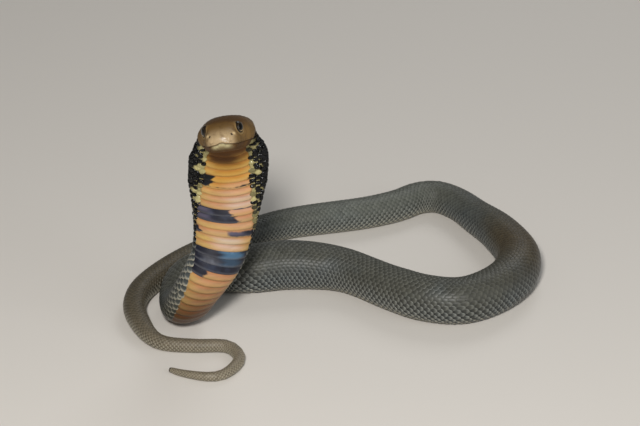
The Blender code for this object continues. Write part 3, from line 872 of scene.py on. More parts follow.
@dataclass(frozen=True)
class Markings:
    """The snake's markings, which the skin and the scales share."""

    surface: Surface
    patches: tuple[Patch, ...] = (
        Patch(Tone.THROAT, -30.0, 38.0, -3.0, 3.0, 1.0, 5.0, 0.1, False),
        # Painted shade: the head's shadow on the throat, laid as two dark brown patches.
        Patch(Tone.THROAT_SHADE, -30.0, 23.6, -0.95, 0.50, 1.0, 1.3, 0.3, False),
        Patch(Tone.THROAT_SHADE, -30.0, 19.6, -3.0, 3.0, 1.0, 2.2, 0.1, False),
        Patch(Tone.BAR, 30.8, 34.4, -1.8, -0.60, 1.0, 0.5, 0.18, False),
        Patch(Tone.BAR, 34.0, 37.4, -1.8, -0.70, 1.0, 0.5, 0.16, False),
        Patch(Tone.BAR, 32.2, 37.4, 0.86, 1.8, 1.0, 0.5, 0.12, False),
        Patch(Tone.BAR, 36.2, 37.3, -0.8, 1.0, 0.48, 0.5, 0.1, False),
        Patch(Tone.BAR, 36.0, 37.4, 0.5, 1.0, 0.8, 0.5, 0.25, False),
        Patch(Tone.PINK, 34.0, 50.0, -0.1, 0.9, 0.85, 2.5, 0.35, False),
        Patch(Tone.LEMON, 24.0, 49.0, -1.3, -0.62, 0.6, 1.5, 0.2, False),
        Patch(Tone.LEMON, 24.0, 33.0, 0.62, 1.3, 0.5, 1.5, 0.2, False),
        Patch(Tone.FROST, 42.5, 49.5, 0.2, 1.4, 0.5, 1.5, 0.3, False),
        Patch(Tone.BAR, 47.6, 48.8, -1.8, -0.75, 1.0, 0.4, 0.08, False),
        Patch(Tone.BAR, 48.3, 49.2, 0.3, 1.5, 0.8, 0.3, 0.1, False),
        Patch(Tone.BAR, 49.0, 52.0, -1.8, 0.30, 1.0, 0.3, 0.2),
        Patch(Tone.BAR, 52.5, 56.0, -1.8, 0.48, 1.0, 0.3, 0.2),
        # Painted lilac sheen on the bar plates' crests.
        Patch(Tone.VIOLET_SHEEN, 49.0, 56.0, -0.95, -0.40, 0.9, 0.6, 0.16, False),
        Patch(Tone.PINK, 52.0, 60.0, 0.2, 0.9, 0.5, 1.5, 0.3, False),
        Patch(Tone.LEMON, 56.0, 60.0, -1.2, 0.1, 0.5, 1.0, 0.4, False),
        Patch(Tone.BAR, 60.4, 63.2, 0.04, 1.8, 0.9, 0.4, 0.22, False),
        Patch(Tone.VIOLET_SHEEN, 60.0, 63.0, 0.0, 0.6, 0.9, 0.6, 0.16, False),
        Patch(Tone.BAR, 60.0, 63.4, -1.8, -0.82, 1.0, 0.5, 0.08, False),
        Patch(Tone.BAR, 63.3, 63.9, -0.8, 0.1, 0.4, 0.25, 0.1, False),
        Patch(Tone.FROST, 64.0, 70.5, -0.3, 0.5, 0.6, 1.5, 0.3, False),
        Patch(Tone.LEMON, 64.0, 71.0, -1.3, -0.45, 0.8, 1.0, 0.25, False),
        Patch(Tone.LEMON, 64.0, 71.0, 0.55, 1.3, 0.7, 1.0, 0.25, False),
        Patch(Tone.BAR, 71.0, 81.0, -2.2, 2.2),
        Patch(Tone.SKY, 71.0, 74.0, -0.05, 0.66, 1.0, 0.3, 0.16),
        Patch(Tone.SKY, 75.0, 77.0, 0.05, 0.66, 0.4, 0.3, 0.2),
        Patch(Tone.FROST, 75.0, 77.0, -0.62, -0.05, 0.8, 0.3, 0.2),
        Patch(Tone.BAR, 82.0, 85.0, -2.2, -0.36, 1.0, 0.3, 0.22),
        Patch(Tone.LEMON, 81.0, 112.0, -1.4, -0.66, 0.75, 2.0, 0.15, False),
        Patch(Tone.LEMON, 81.0, 100.0, 0.72, 1.4, 0.6, 2.0, 0.15, False),
    )
    ragged: float = 0.07
    ragged_turns: float = 1.9
    waver: float = 0.10
    waver_turns: float = 1.8
    pale_left: Rows = (
        (-6.0, 0.0), (2.0, 3.2), (12.0, 3.8), (17.0, 3.2), (19.0, 0.6), (21.0, 0.6), (23.0, 3.6),
        (28.5, 3.4), (30.5, 0.2), (34.0, 0.2), (35.6, 4.2), (38.0, 3.6), (41.0, 2.6), (44.0, 1.2),
        (50.0, 1.2), (53.0, 3.2), (58.0, 3.2), (60.0, 0.4), (68.0, 0.0),
    )
    pale_right: Rows = (
        (-6.0, 0.0), (2.0, 3.0), (12.0, 3.6), (19.0, 3.2), (21.0, 0.6), (23.0, 0.8), (25.0, 4.2),
        (27.0, 3.6), (29.0, 0.2), (34.0, 0.2), (35.8, 4.2), (41.0, 4.4), (44.0, 3.0), (46.0, 1.4),
        (48.0, 0.2), (68.0, 0.0),
    )
    pale_first: Span = (-4.0, 4.0)
    pale_last: Span = (58.0, 70.0)
    pale_spread: Span = (0.55, 0.9)
    skin_beyond: float = 5.0
    black_turns: float = 31.0
    black_share: float = 0.36
    black_depth: float = 0.9
    hood_first: Span = (-8.0, 8.0)
    hood_last: Span = (58.0, 82.0)
    hood_depth: Span = (0.30, 0.44)
    belly_blur: float = 0.4
    rear_span: Span = (545.0, 610.0)
    bend: Span = (364.0, 28.0)
    bend_strength: float = 1.25
    bend_depth: Span = (0.25, 0.6)
    # Painted highlight: a lighter blue-grey stretch on the rear coil.
    coil_highlight: Span = (492.0, 62.0)
    coil_highlight_strength: float = 0.55
    tail_span: Span = (640.0, 720.0)
    floor_span: Span = (112.0, 150.0)
    base_span: Span = (85.0, 108.0)
    head_span: Span = (-7.0, 10.0)
    low_height: Span = (1.0, 11.0)
    low_span: Span = (66.0, 84.0)
    crown_depth: Span = (0.16, 0.46)
    chin_depth: Span = (0.62, 0.70)
    chin_end: Span = (-14.0, 0.0)
    middle_pick: float = 0.5
    widest: float = 1.2

    def read(
        self,
        ways: np.ndarray,
        shares: np.ndarray,
        scale_ways: np.ndarray | None = None,
        scale_shares: np.ndarray | None = None,
        picks: np.ndarray | None = None,
    ) -> Marks:
        """Gives what the finish reads at points of the skin or the scales.

        Args:
            ways: Ways along the snake.
            shares: Shares round the body.
            scale_ways: Ways of the scale or plate that each point is part of, or None on the skin.
            scale_shares: Shares of that scale or plate.
            picks: Tints of that scale or plate.

        Returns:
            Named values from 0 to 1.
        """
        on_skin = scale_ways is None
        edge = self.surface.belly_edge_at(ways)
        girth = self.surface.girth_at(ways)
        depth = np.abs(shares)
        outside = (edge - depth) * girth
        belly = ease(-outside, -self.belly_blur, self.belly_blur)
        if not on_skin:
            belly = (np.abs(scale_shares) > edge) * 1.0
        pale = self._pale(ways, shares) if on_skin else self._pale(scale_ways, scale_shares, picks)
        across = np.sign(shares) * (1 - depth) / np.maximum(1 - edge, TINY)
        bend = self.bend_strength * bump(ways - self.bend[0], self.bend[1])
        bend = bend * (1 - ease(depth, *self.bend_depth))
        marks = {
            "belly": belly,
            "hood": self._hood(ways, depth) * (1 - belly),
            "pale": pale * (1 - belly),
            "back": np.clip(1 - depth / np.maximum(edge, TINY), 0.0, 1.0),
            "rear": np.maximum(ease(ways, *self.rear_span), bend),
            # Painted highlight on the rear coil.
            "coil_highlight": self.coil_highlight_strength * bump(ways - self.coil_highlight[0], self.coil_highlight[1]),
            "tail": ease(ways, *self.tail_span),
            "floor_part": ease(ways, *self.floor_span),
            "base": ease(ways, *self.base_span),
            "head": 1 - ease(ways, *self.head_span),
            "low": (1 - ease(outside, *self.low_height)) * (1 - belly) * ease(ways, *self.low_span),
        }
        marks.update(self._patches(ways, ways if on_skin else scale_ways, across, belly))
        return marks

    def head_tones(self, ways: np.ndarray, shares: np.ndarray) -> Marks:
        """Gives what the head's finish reads behind the head joint and on the scales of the nape.

        Args:
            ways: Ways along the snake.
            shares: Shares round the body.

        Returns:
            Named values from 0 to 1.
        """
        depth = np.abs(shares)
        absent = ("seam", "mouth", "pit", "lid", "nostril_highlight", "snout_share", "chin_front")
        tones = {name: np.zeros_like(ways) for name in absent}
        tones["crown_rise"] = 1 - ease(depth, *self.crown_depth)
        # Behind the head joint, the throat takes the same painted shade as the underside of the head.
        tones["chin_share"] = ease(depth, *self.chin_depth) * (1 - ease(ways, *self.chin_end))
        tones["pick"] = np.full_like(ways, self.middle_pick)
        return tones

    def _hood(self, ways: np.ndarray, depth: np.ndarray) -> np.ndarray:
        """Tells how black the hood's sides are."""
        along = ease(ways, *self.hood_first) * (1 - ease(ways, *self.hood_last))
        return along * ease(depth, *self.hood_depth)

    def _pale(self, ways: np.ndarray, shares: np.ndarray, picks: np.ndarray | None = None) -> np.ndarray:
        """Tells where the hood is cream, beside the belly plates.

        Args:
            ways: Ways along the snake.
            shares: Shares round the body.
            picks: Tints of the scales, or None on the skin.

        Returns:
            Values from 0 to 1.
        """
        edge = self.surface.belly_edge_at(ways)
        outside = (edge - np.abs(shares)) * self.surface.girth_at(ways)
        reach = np.where(shares > 0, value_at(self.pale_left, ways), value_at(self.pale_right, ways))
        if picks is None:
            here = ease(ways, *self.pale_first) * (1 - ease(ways, *self.pale_last))
            return (1 - ease(outside, reach + 1.0, reach + 1.0 + self.skin_beyond)) * here
        least, more = self.pale_spread
        cream = ease(reach * (least + more * picks) - outside, -0.1, 0.1)
        black = np.modf(picks * self.black_turns)[0] < self.black_share
        return cream * (1 - self.black_depth * black)

    def _patches(
        self, ways: np.ndarray, plate_ways: np.ndarray, across: np.ndarray, belly: np.ndarray
    ) -> Marks:
        """Tells how far each point takes each tone of the belly.

        Args:
            ways: Ways along the snake.
            plate_ways: Ways of the plates that the points are part of.
            across: Places across the plates, from -1 to 1.
            belly: 1 on the belly plates.

        Returns:
            Values from 0 to 1 by the tone's name.
        """
        marks = {tone.value: np.zeros_like(ways) for tone in Tone}
        bow = value_at(self.surface.body.bow_rows, ways)
        bowed = ways + bow * np.clip(across, -self.widest, self.widest) ** 2
        ragged = self.ragged * np.sin(plate_ways * self.ragged_turns)
        place = across + (ragged + self.waver * np.sin(ways * self.waver_turns))
        for patch in self.patches:
            at = plate_ways if patch.whole_plates else bowed
            share = patch.depth * belly
            for where, blur, low, high in (
                (at, patch.blur_along, patch.first, patch.last),
                (place, patch.blur_across, patch.right_edge, patch.left_edge),
            ):
                share = share * ease(where, low - blur, low + blur)
                share = share * (1 - ease(where, high - blur, high + blur))
            marks[patch.tone.value] = np.maximum(marks[patch.tone.value], share)
        return marks


class Flow:
    """A shader value that is combined with others by Python's own operators."""

    def __init__(self, graph: "Graph", socket: bpy.types.NodeSocket) -> None:
        """Wraps a socket of a graph."""
        self.graph = graph
        self.socket = socket

    def _math(self, operation: str, first: object, second: object = None) -> "Flow":
        """Adds a Math node and gives its result."""
        inputs = {0: first} if second is None else {0: first, 1: second}
        node = self.graph.node("ShaderNodeMath", {"operation": operation}, inputs)
        return Flow(self.graph, node.outputs[0])

    def __add__(self, other: "Flow | float") -> "Flow":
        """Adds."""
        return self._math("ADD", self, other)

    __radd__ = __add__

    def __sub__(self, other: "Flow | float") -> "Flow":
        """Subtracts."""
        return self._math("SUBTRACT", self, other)

    def __rsub__(self, other: float) -> "Flow":
        """Subtracts from a number."""
        return self._math("SUBTRACT", other, self)

    def __mul__(self, other: "Flow | float") -> "Flow":
        """Multiplies."""
        return self._math("MULTIPLY", self, other)

    __rmul__ = __mul__

    def step(self, low: float, high: float) -> "Flow":
        """Takes a smooth step from 0 at the low value to 1 at the high value."""
        inputs = {"Value": self, "From Min": low, "From Max": high}
        node = self.graph.node("ShaderNodeMapRange", {"interpolation_type": "SMOOTHSTEP"}, inputs)
        return Flow(self.graph, node.outputs["Result"])


class Graph:
    """The node graph of one material."""

    def __init__(self, name: str) -> None:
        """Starts a material with a Principled shader."""
        self.material = bpy.data.materials.new(name)
        self.material.use_nodes = True
        self.tree = self.material.node_tree
        self.shader = self.tree.nodes["Principled BSDF"]

    def node(
        self, kind: str, settings: Mapping[str, object], inputs: Mapping[object, object]
    ) -> bpy.types.Node:
        """Adds a node.

        Args:
            kind: The node's type.
            settings: Its settings by name, which are set first.
            inputs: Values, sockets or flows by input name or number.

        Returns:
            The node.
        """
        made = self.tree.nodes.new(kind)
        for name, value in settings.items():
            setattr(made, name, value)
        for key, value in inputs.items():
            self.feed(made.inputs[key], value)
        return made

    def feed(self, socket: bpy.types.NodeSocket, value: object) -> None:
        """Links or sets an input."""
        if isinstance(value, Flow):
            value = value.socket
        if isinstance(value, bpy.types.NodeSocket):
            self.tree.links.new(value, socket)
        else:
            socket.default_value = value

    def mark(self, name: str) -> Flow:
        """Reads one of the mesh's own named values."""
        node = self.node("ShaderNodeAttribute", {"attribute_name": name}, {})
        return Flow(self, node.outputs["Fac"])

    def mix(self, share: object, first: object, second: object, blend: str = "MIX") -> bpy.types.NodeSocket:
        """Mixes two colours."""
        settings = {"data_type": "RGBA", "blend_type": blend, "clamp_factor": True}
        return self.node("ShaderNodeMix", settings, {0: share, 6: first, 7: second}).outputs[2]

    def layers(self, colour: object, *coats: tuple[object, object]) -> bpy.types.NodeSocket:
        """Lays colours over a first one, in their order, each given with its share."""
        for share, paint in coats:
            colour = self.mix(share, colour, paint)
        return colour

    def tinted(self, colour: object, tint: Flow) -> bpy.types.NodeSocket:
        """Makes a colour lighter or darker by a value round a half."""
        grey = self.node("ShaderNodeCombineColor", {}, {0: tint, 1: tint, 2: tint}).outputs[0]
        return self.mix(1.0, colour, grey, "OVERLAY")

    def noise(self, scale: float, detail: float = 3.0, stretch: Sequence[float] = (1.0, 1.0, 1.0)) -> Flow:
        """Reads noise on the object's own coordinates, in waves for each metre."""
        where = self.node("ShaderNodeTexCoord", {}, {}).outputs["Object"]
        placed = self.node("ShaderNodeMapping", {}, {"Vector": where, "Scale": tuple(stretch)}).outputs[0]
        inputs = {"Vector": placed, "Scale": scale, "Detail": detail, "Roughness": 0.55}
        return Flow(self, self.node("ShaderNodeTexNoise", {}, inputs).outputs[0])

    def relief(self, height: Flow, strength: float, distance: float) -> bpy.types.NodeSocket:
        """Turns a height into a bumped normal."""
        inputs = {"Height": height, "Strength": strength, "Distance": distance}
        return self.node("ShaderNodeBump", {}, inputs).outputs[0]


@dataclass(frozen=True)
class SnakeFinish:
    """The snake's colours and gloss, for the skin and for all that grows on it."""

    slate: Colour = srgb(76, 83, 86)
    olive: Colour = srgb(76, 76, 68)
    rear_brown: Colour = srgb(78, 67, 47)
    tail_brown: Colour = srgb(114, 104, 87)
    flank: Colour = srgb(92, 99, 100)
    low_edge: Colour = srgb(176, 168, 146)
    # Painted shade: near black for the gaps between the scales and for each scale's root.
    between: Colour = srgb(30, 32, 31)
    hood_black: Colour = srgb(3, 4, 5)
    cream: Colour = srgb(180, 170, 120)
    cream_dim: Colour = srgb(118, 110, 74)
    salmon: Colour = srgb(190, 138, 102)
    peach: Colour = srgb(172, 137, 98)
    ochre: Colour = srgb(178, 127, 42)
    # Painted shade: dark brown for the throat in the head's shadow.
    throat_shade: Colour = srgb(80, 38, 4)
    pink: Colour = srgb(188, 147, 120)
    frost: Colour = srgb(206, 198, 192)
    # Lemon yellow of the plates' ends, also laid along each plate's free edge, partly as its pale rear edge
    # and partly as a painted highlight on its ridge.
    lemon_and_ridge_highlight: Colour = srgb(186, 154, 88)
    # Painted shade: darker brown on the plates low on the reared part, where the belly curves under.
    base_shade: Colour = srgb(78, 47, 29)
    under_grey: Colour = srgb(128, 122, 104)
    bar_black: Colour = srgb(27, 28, 40)
    bar_blue: Colour = srgb(62, 72, 94)
    bar_edge: Colour = srgb(118, 120, 128)
    # Painted sheen: lilac for the crests of the dark bars' plates.
    violet_sheen: Colour = srgb(108, 102, 122)
    sky: Colour = srgb(98, 144, 180)
    crown: Colour = srgb(86, 56, 10)
    bronze: Colour = srgb(116, 90, 52)
    snout: Colour = srgb(170, 147, 112)
    chin: Colour = srgb(166, 155, 118)
    # Painted shade: dark brown under the head and on the chin's sides, where the head shades them.
    jaw_shade: Colour = srgb(92, 64, 32)
    mottle: Colour = srgb(74, 50, 26)
    # Dark seams between the head's shields and along the mouth, and painted groove shade at the plates' roots
    # low on the reared part.
    seam_and_groove_shade: Colour = srgb(58, 38, 24)
    # Painted shade for the nostril pits and the eye sockets.
    pit_shade: Colour = srgb(8, 7, 6)
    lid: Colour = srgb(150, 130, 92)
    # Painted highlight beside the nostrils.
    nostril_highlight: Colour = srgb(226, 200, 152)
    # Painted shade in the groove at each plate's root, where it tucks under the plate ahead.
    valley_shade: Colour = srgb(168, 104, 54)
    # Pale rims of the flank scales, partly their own colour and partly a painted highlight.
    pale_rim_and_highlight: Colour = srgb(176, 178, 172)
    dark_flank: Colour = srgb(66, 68, 60)
    # Painted highlight: light blue-grey for the rear coil.
    coil_highlight: Colour = srgb(116, 120, 112)
    hood_skin: Colour = srgb(60, 54, 36)
    middle_grey: Colour = (0.5, 0.5, 0.5, 1.0)
    snout_sheen: float = 0.24
    bump_reach: float = 0.00015
    skin_specular: float = 0.14
    scale_specular: float = 0.3

    def material(self, name: str, is_skin: bool) -> bpy.types.Material:
        """Builds the material.

        Args:
            name: The material's name.
            is_skin: True for the skin, whose bare parts show between the scales.

        Returns:
            The material.
        """
        graph = Graph(name)
        mark, sockets = graph.mark, graph.shader.inputs
        broad = graph.noise(38.0, 2.0)
        fine = graph.noise(900.0, 3.0)
        colour = graph.layers(
            self._hood_colour(graph, self._back_colour(graph, broad), is_skin),
            (mark("belly"), self._belly_colour(graph)),
            ((mark("bar") + 0.8 * (graph.noise(300.0, 3.0) - 0.5)).step(0.25, 0.75), self._bar_colour(graph)),
            (mark("head"), self._head_colour(graph, broad)),
        )
        if is_skin:
            # Painted shade: the bare skin that shows between the scales is near black.
            hidden = mark("bare") * (1 - mark("pale")) * (1 - mark("belly"))
            colour = graph.mix(hidden, colour, self.between)
        colour = graph.mix(0.35 * (fine - 0.5) + 0.5, colour, self.middle_grey, "SOFT_LIGHT")
        graph.feed(sockets["Base Color"], colour)
        gloss = 0.42 - 0.27 * mark("hood") + 0.04 * mark("belly") + 0.2 * mark("head")
        gloss = gloss - 0.2 * mark("snout_share") * mark("head")
        graph.feed(sockets["Roughness"], gloss + 0.10 * (broad - 0.5))
        graph.feed(sockets["Coat Weight"], 0.28 * mark("snout_share") * mark("head"))
        graph.feed(sockets["Coat Roughness"], self.snout_sheen)
        ripple = graph.noise(760.0, 1.0) * mark("hood") * 6.0
        graph.feed(sockets["Normal"], graph.relief(0.15 * fine + ripple, 1.0, self.bump_reach))
        graph.feed(sockets["Specular IOR Level"], self.skin_specular if is_skin else self.scale_specular)
        return graph.material

    def _back_colour(self, graph: Graph, broad: Flow) -> bpy.types.NodeSocket:
        """Colours the back and the flanks: slate to olive, browner behind, pale edges low down, with painted
        shade at the scales' roots and painted highlights on the rims and on the rear coil.

        Args:
            graph: The material's graph.
            broad: Noise in broad waves.

        Returns:
            The colour.
        """
        mark = graph.mark
        colour = graph.layers(
            self.slate,
            ((broad * 1.4 + mark("back") * 0.5 - 0.35).step(0.15, 0.85), self.olive),
            ((1 - mark("back")).step(0.45, 1.0) * 0.6, self.flank),
            # Painted highlight on the rear coil.
            (mark("coil_highlight"), self.coil_highlight),
            (mark("rear") * 0.8, self.rear_brown),
            (mark("tail"), self.tail_brown),
        )
        colour = graph.tinted(colour, 0.16 * (mark("pick") - 0.5) + 0.5)
        flank = (1 - mark("back")).step(0.30, 0.75)
        rooted = (1 - mark("free")).step(0.12, 0.75) * (1 - 0.5 * mark("low") - 0.3 * mark("tail"))
        return graph.layers(
            colour,
            (mark("base") * (1 - mark("floor_part")) * flank, self.dark_flank),
            # Painted shade: each scale darkens towards its root, where it tucks under the scale ahead.
            (rooted * (0.40 + 0.6 * flank), self.between),
            # Pale rims, partly a painted highlight, stronger on the flanks.
            (mark("rim") * (0.08 + 0.52 * flank), self.pale_rim_and_highlight),
            (mark("rim") * mark("low"), self.low_edge),
        )

    def _hood_colour(
        self, graph: Graph, colour: bpy.types.NodeSocket, is_skin: bool
    ) -> bpy.types.NodeSocket:
        """Colours the sides of the hood: black scales on cream skin, with cream scales along the plates."""
        cream = graph.mix(graph.mark("pick").step(0.2, 0.8), self.cream_dim, self.cream)
        black = self.hood_skin if is_skin else self.hood_black
        return graph.layers(colour, (graph.mark("hood"), black), (graph.mark("pale"), cream))

    def _belly_colour(self, graph: Graph) -> bpy.types.NodeSocket:
        """Colours the belly plates: ochre at the throat, peach and salmon below, grey-tan where they lie,
        with painted shade under the head, low on the reared part and in the grooves, and painted highlights
        along the ridges.

        Args:
            graph: The material's graph.

        Returns:
            The colour.
        """
        mark = graph.mark
        streak = graph.noise(120.0, 3.0, (0.35, 1.0, 2.4))
        blotch = 0.6 + 0.8 * (streak - 0.2)
        colour = graph.layers(
            self.salmon,
            (streak.step(0.35, 0.65), self.peach),
            (mark("throat") * 0.95, self.ochre),
            # Painted shade of the head on the throat.
            (mark("throat_shade") * 0.85, self.throat_shade),
            (mark("pink") * blotch, self.pink),
            (mark("lemon") * blotch, self.lemon_and_ridge_highlight),
            (mark("frost") * blotch, self.frost),
            # Painted shade low on the reared part.
            (mark("base") * 0.95, self.base_shade),
            (mark("floor_part"), self.under_grey),
        )
        grain = graph.noise(700.0, 3.0, (0.12, 0.5, 1.0)) - 0.5
        colour = graph.tinted(colour, 0.12 * (mark("pick") - 0.5) + 0.5 + 0.3 * grain)
        # Less of the painted ridge highlight where the throat and the base are painted in shade.
        plain = 1 - 0.9 * mark("throat_shade") - 0.7 * mark("base")
        rooted = (1 - mark("free")).step(0.35, 0.85)
        return graph.layers(
            colour,
            # Pale rear edge of each plate, partly a painted highlight on its ridge.
            (mark("free").step(0.45, 0.85) * 0.38 * plain, self.lemon_and_ridge_highlight),
            # Painted shade at each plate's root, darker still low on the reared part.
            (rooted * 0.7 * (1 - mark("throat_shade")), self.valley_shade),
            (rooted * mark("base") * 0.75, self.seam_and_groove_shade),
        )

    def _bar_colour(self, graph: Graph) -> bpy.types.NodeSocket:
        """Colours the dark bars: blue-black, with slate, sky-blue and frosted patches and a painted lilac
        sheen on the plates' crests.

        Args:
            graph: The material's graph.

        Returns:
            The colour.
        """
        mark, free = graph.mark, graph.mark("free")
        bloom = graph.noise(150.0, 2.0).step(0.5, 0.75)
        crest = free.step(0.15, 0.5) * (1 - free.step(0.6, 0.95))
        return graph.layers(
            self.bar_black,
            (bloom * 0.4, self.bar_blue),
            # Painted lilac sheen on the middle of each bar plate.
            (mark("violet_sheen") * crest * 0.6, self.violet_sheen),
            (mark("sky") * (0.45 + 0.4 * bloom), self.sky),
            (mark("frost") * (0.25 + 0.5 * bloom), self.bar_edge),
            (free.step(0.70, 0.98) * 0.35, self.bar_edge),
            (mark("throat") * 0.9, self.hood_black),
        )

    def _head_colour(self, graph: Graph, broad: Flow) -> bpy.types.NodeSocket:
        """Colours the head: dark crown, bronze sides, tan snout and pale chin, with faint seams, painted
        shade under the head, in the nostrils and round the eyes, and a painted highlight beside each nostril.

        Args:
            graph: The material's graph.
            broad: Noise in broad waves.

        Returns:
            The colour.
        """
        mark = graph.mark
        colour = graph.layers(
            self.bronze,
            (mark("crown_rise") + 0.3 * (broad - 0.5), self.crown),
            (mark("snout_share"), self.snout),
            # Painted shade under the head, except at the pale front of the chin.
            (mark("chin_share"), graph.mix(mark("chin_front"), self.jaw_shade, self.chin)),
        )
        return graph.layers(
            graph.tinted(colour, 0.12 * (mark("pick") - 0.5) + 0.5),
            (graph.noise(420.0, 3.0).step(0.48, 0.72) * 0.4, self.mottle),
            (mark("lid") * 0.55, self.lid),
            # Painted highlight beside each nostril.
            (mark("nostril_highlight") * 0.7, self.nostril_highlight),
            (mark("seam") * 0.4, self.seam_and_groove_shade),
            (mark("mouth") * 0.8, self.seam_and_groove_shade),
            # Painted shade in the nostrils and round the eyes.
            (mark("pit").step(0.2, 0.8), self.pit_shade),
        )


@dataclass(frozen=True)
class EyeFinish:
    """The look of an eye: a round black pupil in a dark iris, with a thin ring, palest low down."""

    pupil: Colour = srgb(6, 5, 5)
    iris: Colour = srgb(26, 19, 13)
    ring: Colour = srgb(176, 146, 96)
    roughness: float = 0.08
    gloss: float = 0.4
    iris_edge: Span = (0.58, 0.64)
    ring_inner: Span = (0.56, 0.60)
    ring_outer: Span = (0.68, 0.74)

    def material(self, name: str) -> bpy.types.Material:
        """Builds the material, which reads each point's distance from the pupil's middle."""
        graph = Graph(name)
        from_pupil = graph.mark("from_pupil") + 0.02 * (graph.noise(2600.0, 2.0) - 0.5)
        ring = from_pupil.step(*self.ring_inner) * (1 - from_pupil.step(*self.ring_outer))
        coats = ((from_pupil.step(*self.iris_edge), self.iris), (ring * graph.mark("low_rear"), self.ring))
        graph.feed(graph.shader.inputs["Base Color"], graph.layers(self.pupil, *coats))
        graph.feed(graph.shader.inputs["Roughness"], self.roughness)
        graph.feed(graph.shader.inputs["Specular IOR Level"], self.gloss)
        return graph.material


@dataclass(frozen=True)
class FloorFinish:
    """A plain pale floor."""

    colour: Colour = srgb(218, 213, 206)
    roughness: float = 0.75

    def material(self, name: str) -> bpy.types.Material:
        """Builds the material."""
        graph = Graph(name)
        graph.feed(graph.shader.inputs["Base Color"], self.colour)
        graph.feed(graph.shader.inputs["Roughness"], self.roughness)
        return graph.material


def only(thing: bpy.types.Object) -> None:
    """Selects one object and makes it active."""
    bpy.ops.object.select_all(action="DESELECT")
    thing.select_set(True)
    bpy.context.view_layer.objects.active = thing


@contextmanager
def edit_mode() -> Iterator[None]:
    """Opens edit mode with everything selected, and leaves it at the end."""
    bpy.ops.object.mode_set(mode="EDIT")
    bpy.ops.mesh.select_all(action="SELECT")
    yield
    bpy.ops.object.mode_set(mode="OBJECT")


def new_mesh_object(name: str, points: np.ndarray, faces: list[tuple[int, ...]]) -> bpy.types.Object:
    """Makes a smooth mesh object.

    Args:
        name: The object's name.
        points: Points in millimetres.
        faces: Point numbers of each face.

    Returns:
        The object.
    """
    data = bpy.data.meshes.new(name)
    data.from_pydata((points * MM).tolist(), [], faces)
    data.validate()
    data.shade_smooth()
    thing = bpy.data.objects.new(name, data)
    bpy.context.scene.collection.objects.link(thing)
    return thing


def set_marks(thing: bpy.types.Object, marks: Marks) -> None:
    """Stores named values on the mesh's points."""
    for name, values in marks.items():
        made = thing.data.attributes.new(name, "FLOAT", "POINT")
        made.data.foreach_set("value", np.asarray(values, np.float32).ravel())


def face_corners(thing: bpy.types.Object) -> np.ndarray:
    """Gives the point of every face corner."""
    points = np.zeros(len(thing.data.loops), np.int32)
    thing.data.loops.foreach_get("vertex_index", points)
    return points


def set_unwrap(thing: bpy.types.Object, places: np.ndarray) -> None:
    """Stores the bake map, given for each face corner."""
    layer = thing.data.uv_layers.new(name="OFBake")
    layer.data.foreach_set("uv", places.astype(np.float32).ravel())


def declare(thing: bpy.types.Object, nodes: Sequence[str] = ()) -> None:
    """Makes a piece ride with the model.

    Args:
        thing: The piece.
        nodes: The nodes that it stands for.
    """
    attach(thing, BODY)
    if nodes:
        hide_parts(*nodes)
    triangles = sum(len(face.vertices) - 2 for face in thing.data.polygons)
    log.info("%s: %d points, %d triangles", thing.name, len(thing.data.vertices), triangles)


@dataclass(frozen=True)
class Unwrap:
    """The flat layout of the skin: the snake's length is cut into strips that lie above each other."""

    cuts: tuple[float, ...]
    margin: float = 0.006
    patch: float = 0.0015

    def strip_at(self, ways: np.ndarray) -> np.ndarray:
        """Gives the number of the strip that each way is in."""
        return np.clip(np.searchsorted(self.cuts, ways, side="right") - 1, 0, len(self.cuts) - 2)

    def places(self, ways: np.ndarray, shares: np.ndarray, strips: np.ndarray) -> np.ndarray:
        """Lays points of the skin out flat.

        Args:
            ways: Ways along the snake.
            shares: Shares round the body.
            strips: The strip that each point is laid in.

        Returns:
            Flat places.
        """
        cuts = np.array(self.cuts)
        along = (ways - cuts[strips]) / np.max(np.diff(cuts))
        inner = 1 - 2 * self.margin
        u = self.margin + along * inner
        v = (strips + self.margin + (shares + 1) / 2 * inner) / (len(cuts) - 1)
        return np.stack([u, v], axis=-1)

    def patches(self, ways: np.ndarray, shares: np.ndarray, local: np.ndarray) -> np.ndarray:
        """Gives each scale a small patch at its root's place.

        Args:
            ways: Root ways, one for each scale.
            shares: Root shares, one for each scale.
            local: Points of one scale, from -1 to 1 both ways.

        Returns:
            Flat places for every point of every scale.
        """
        roots = np.clip(self.places(ways, shares, self.strip_at(ways)), self.patch, 1 - self.patch)
        return (roots[:, None, :] + local[None, :, :] * self.patch).reshape(-1, 2)


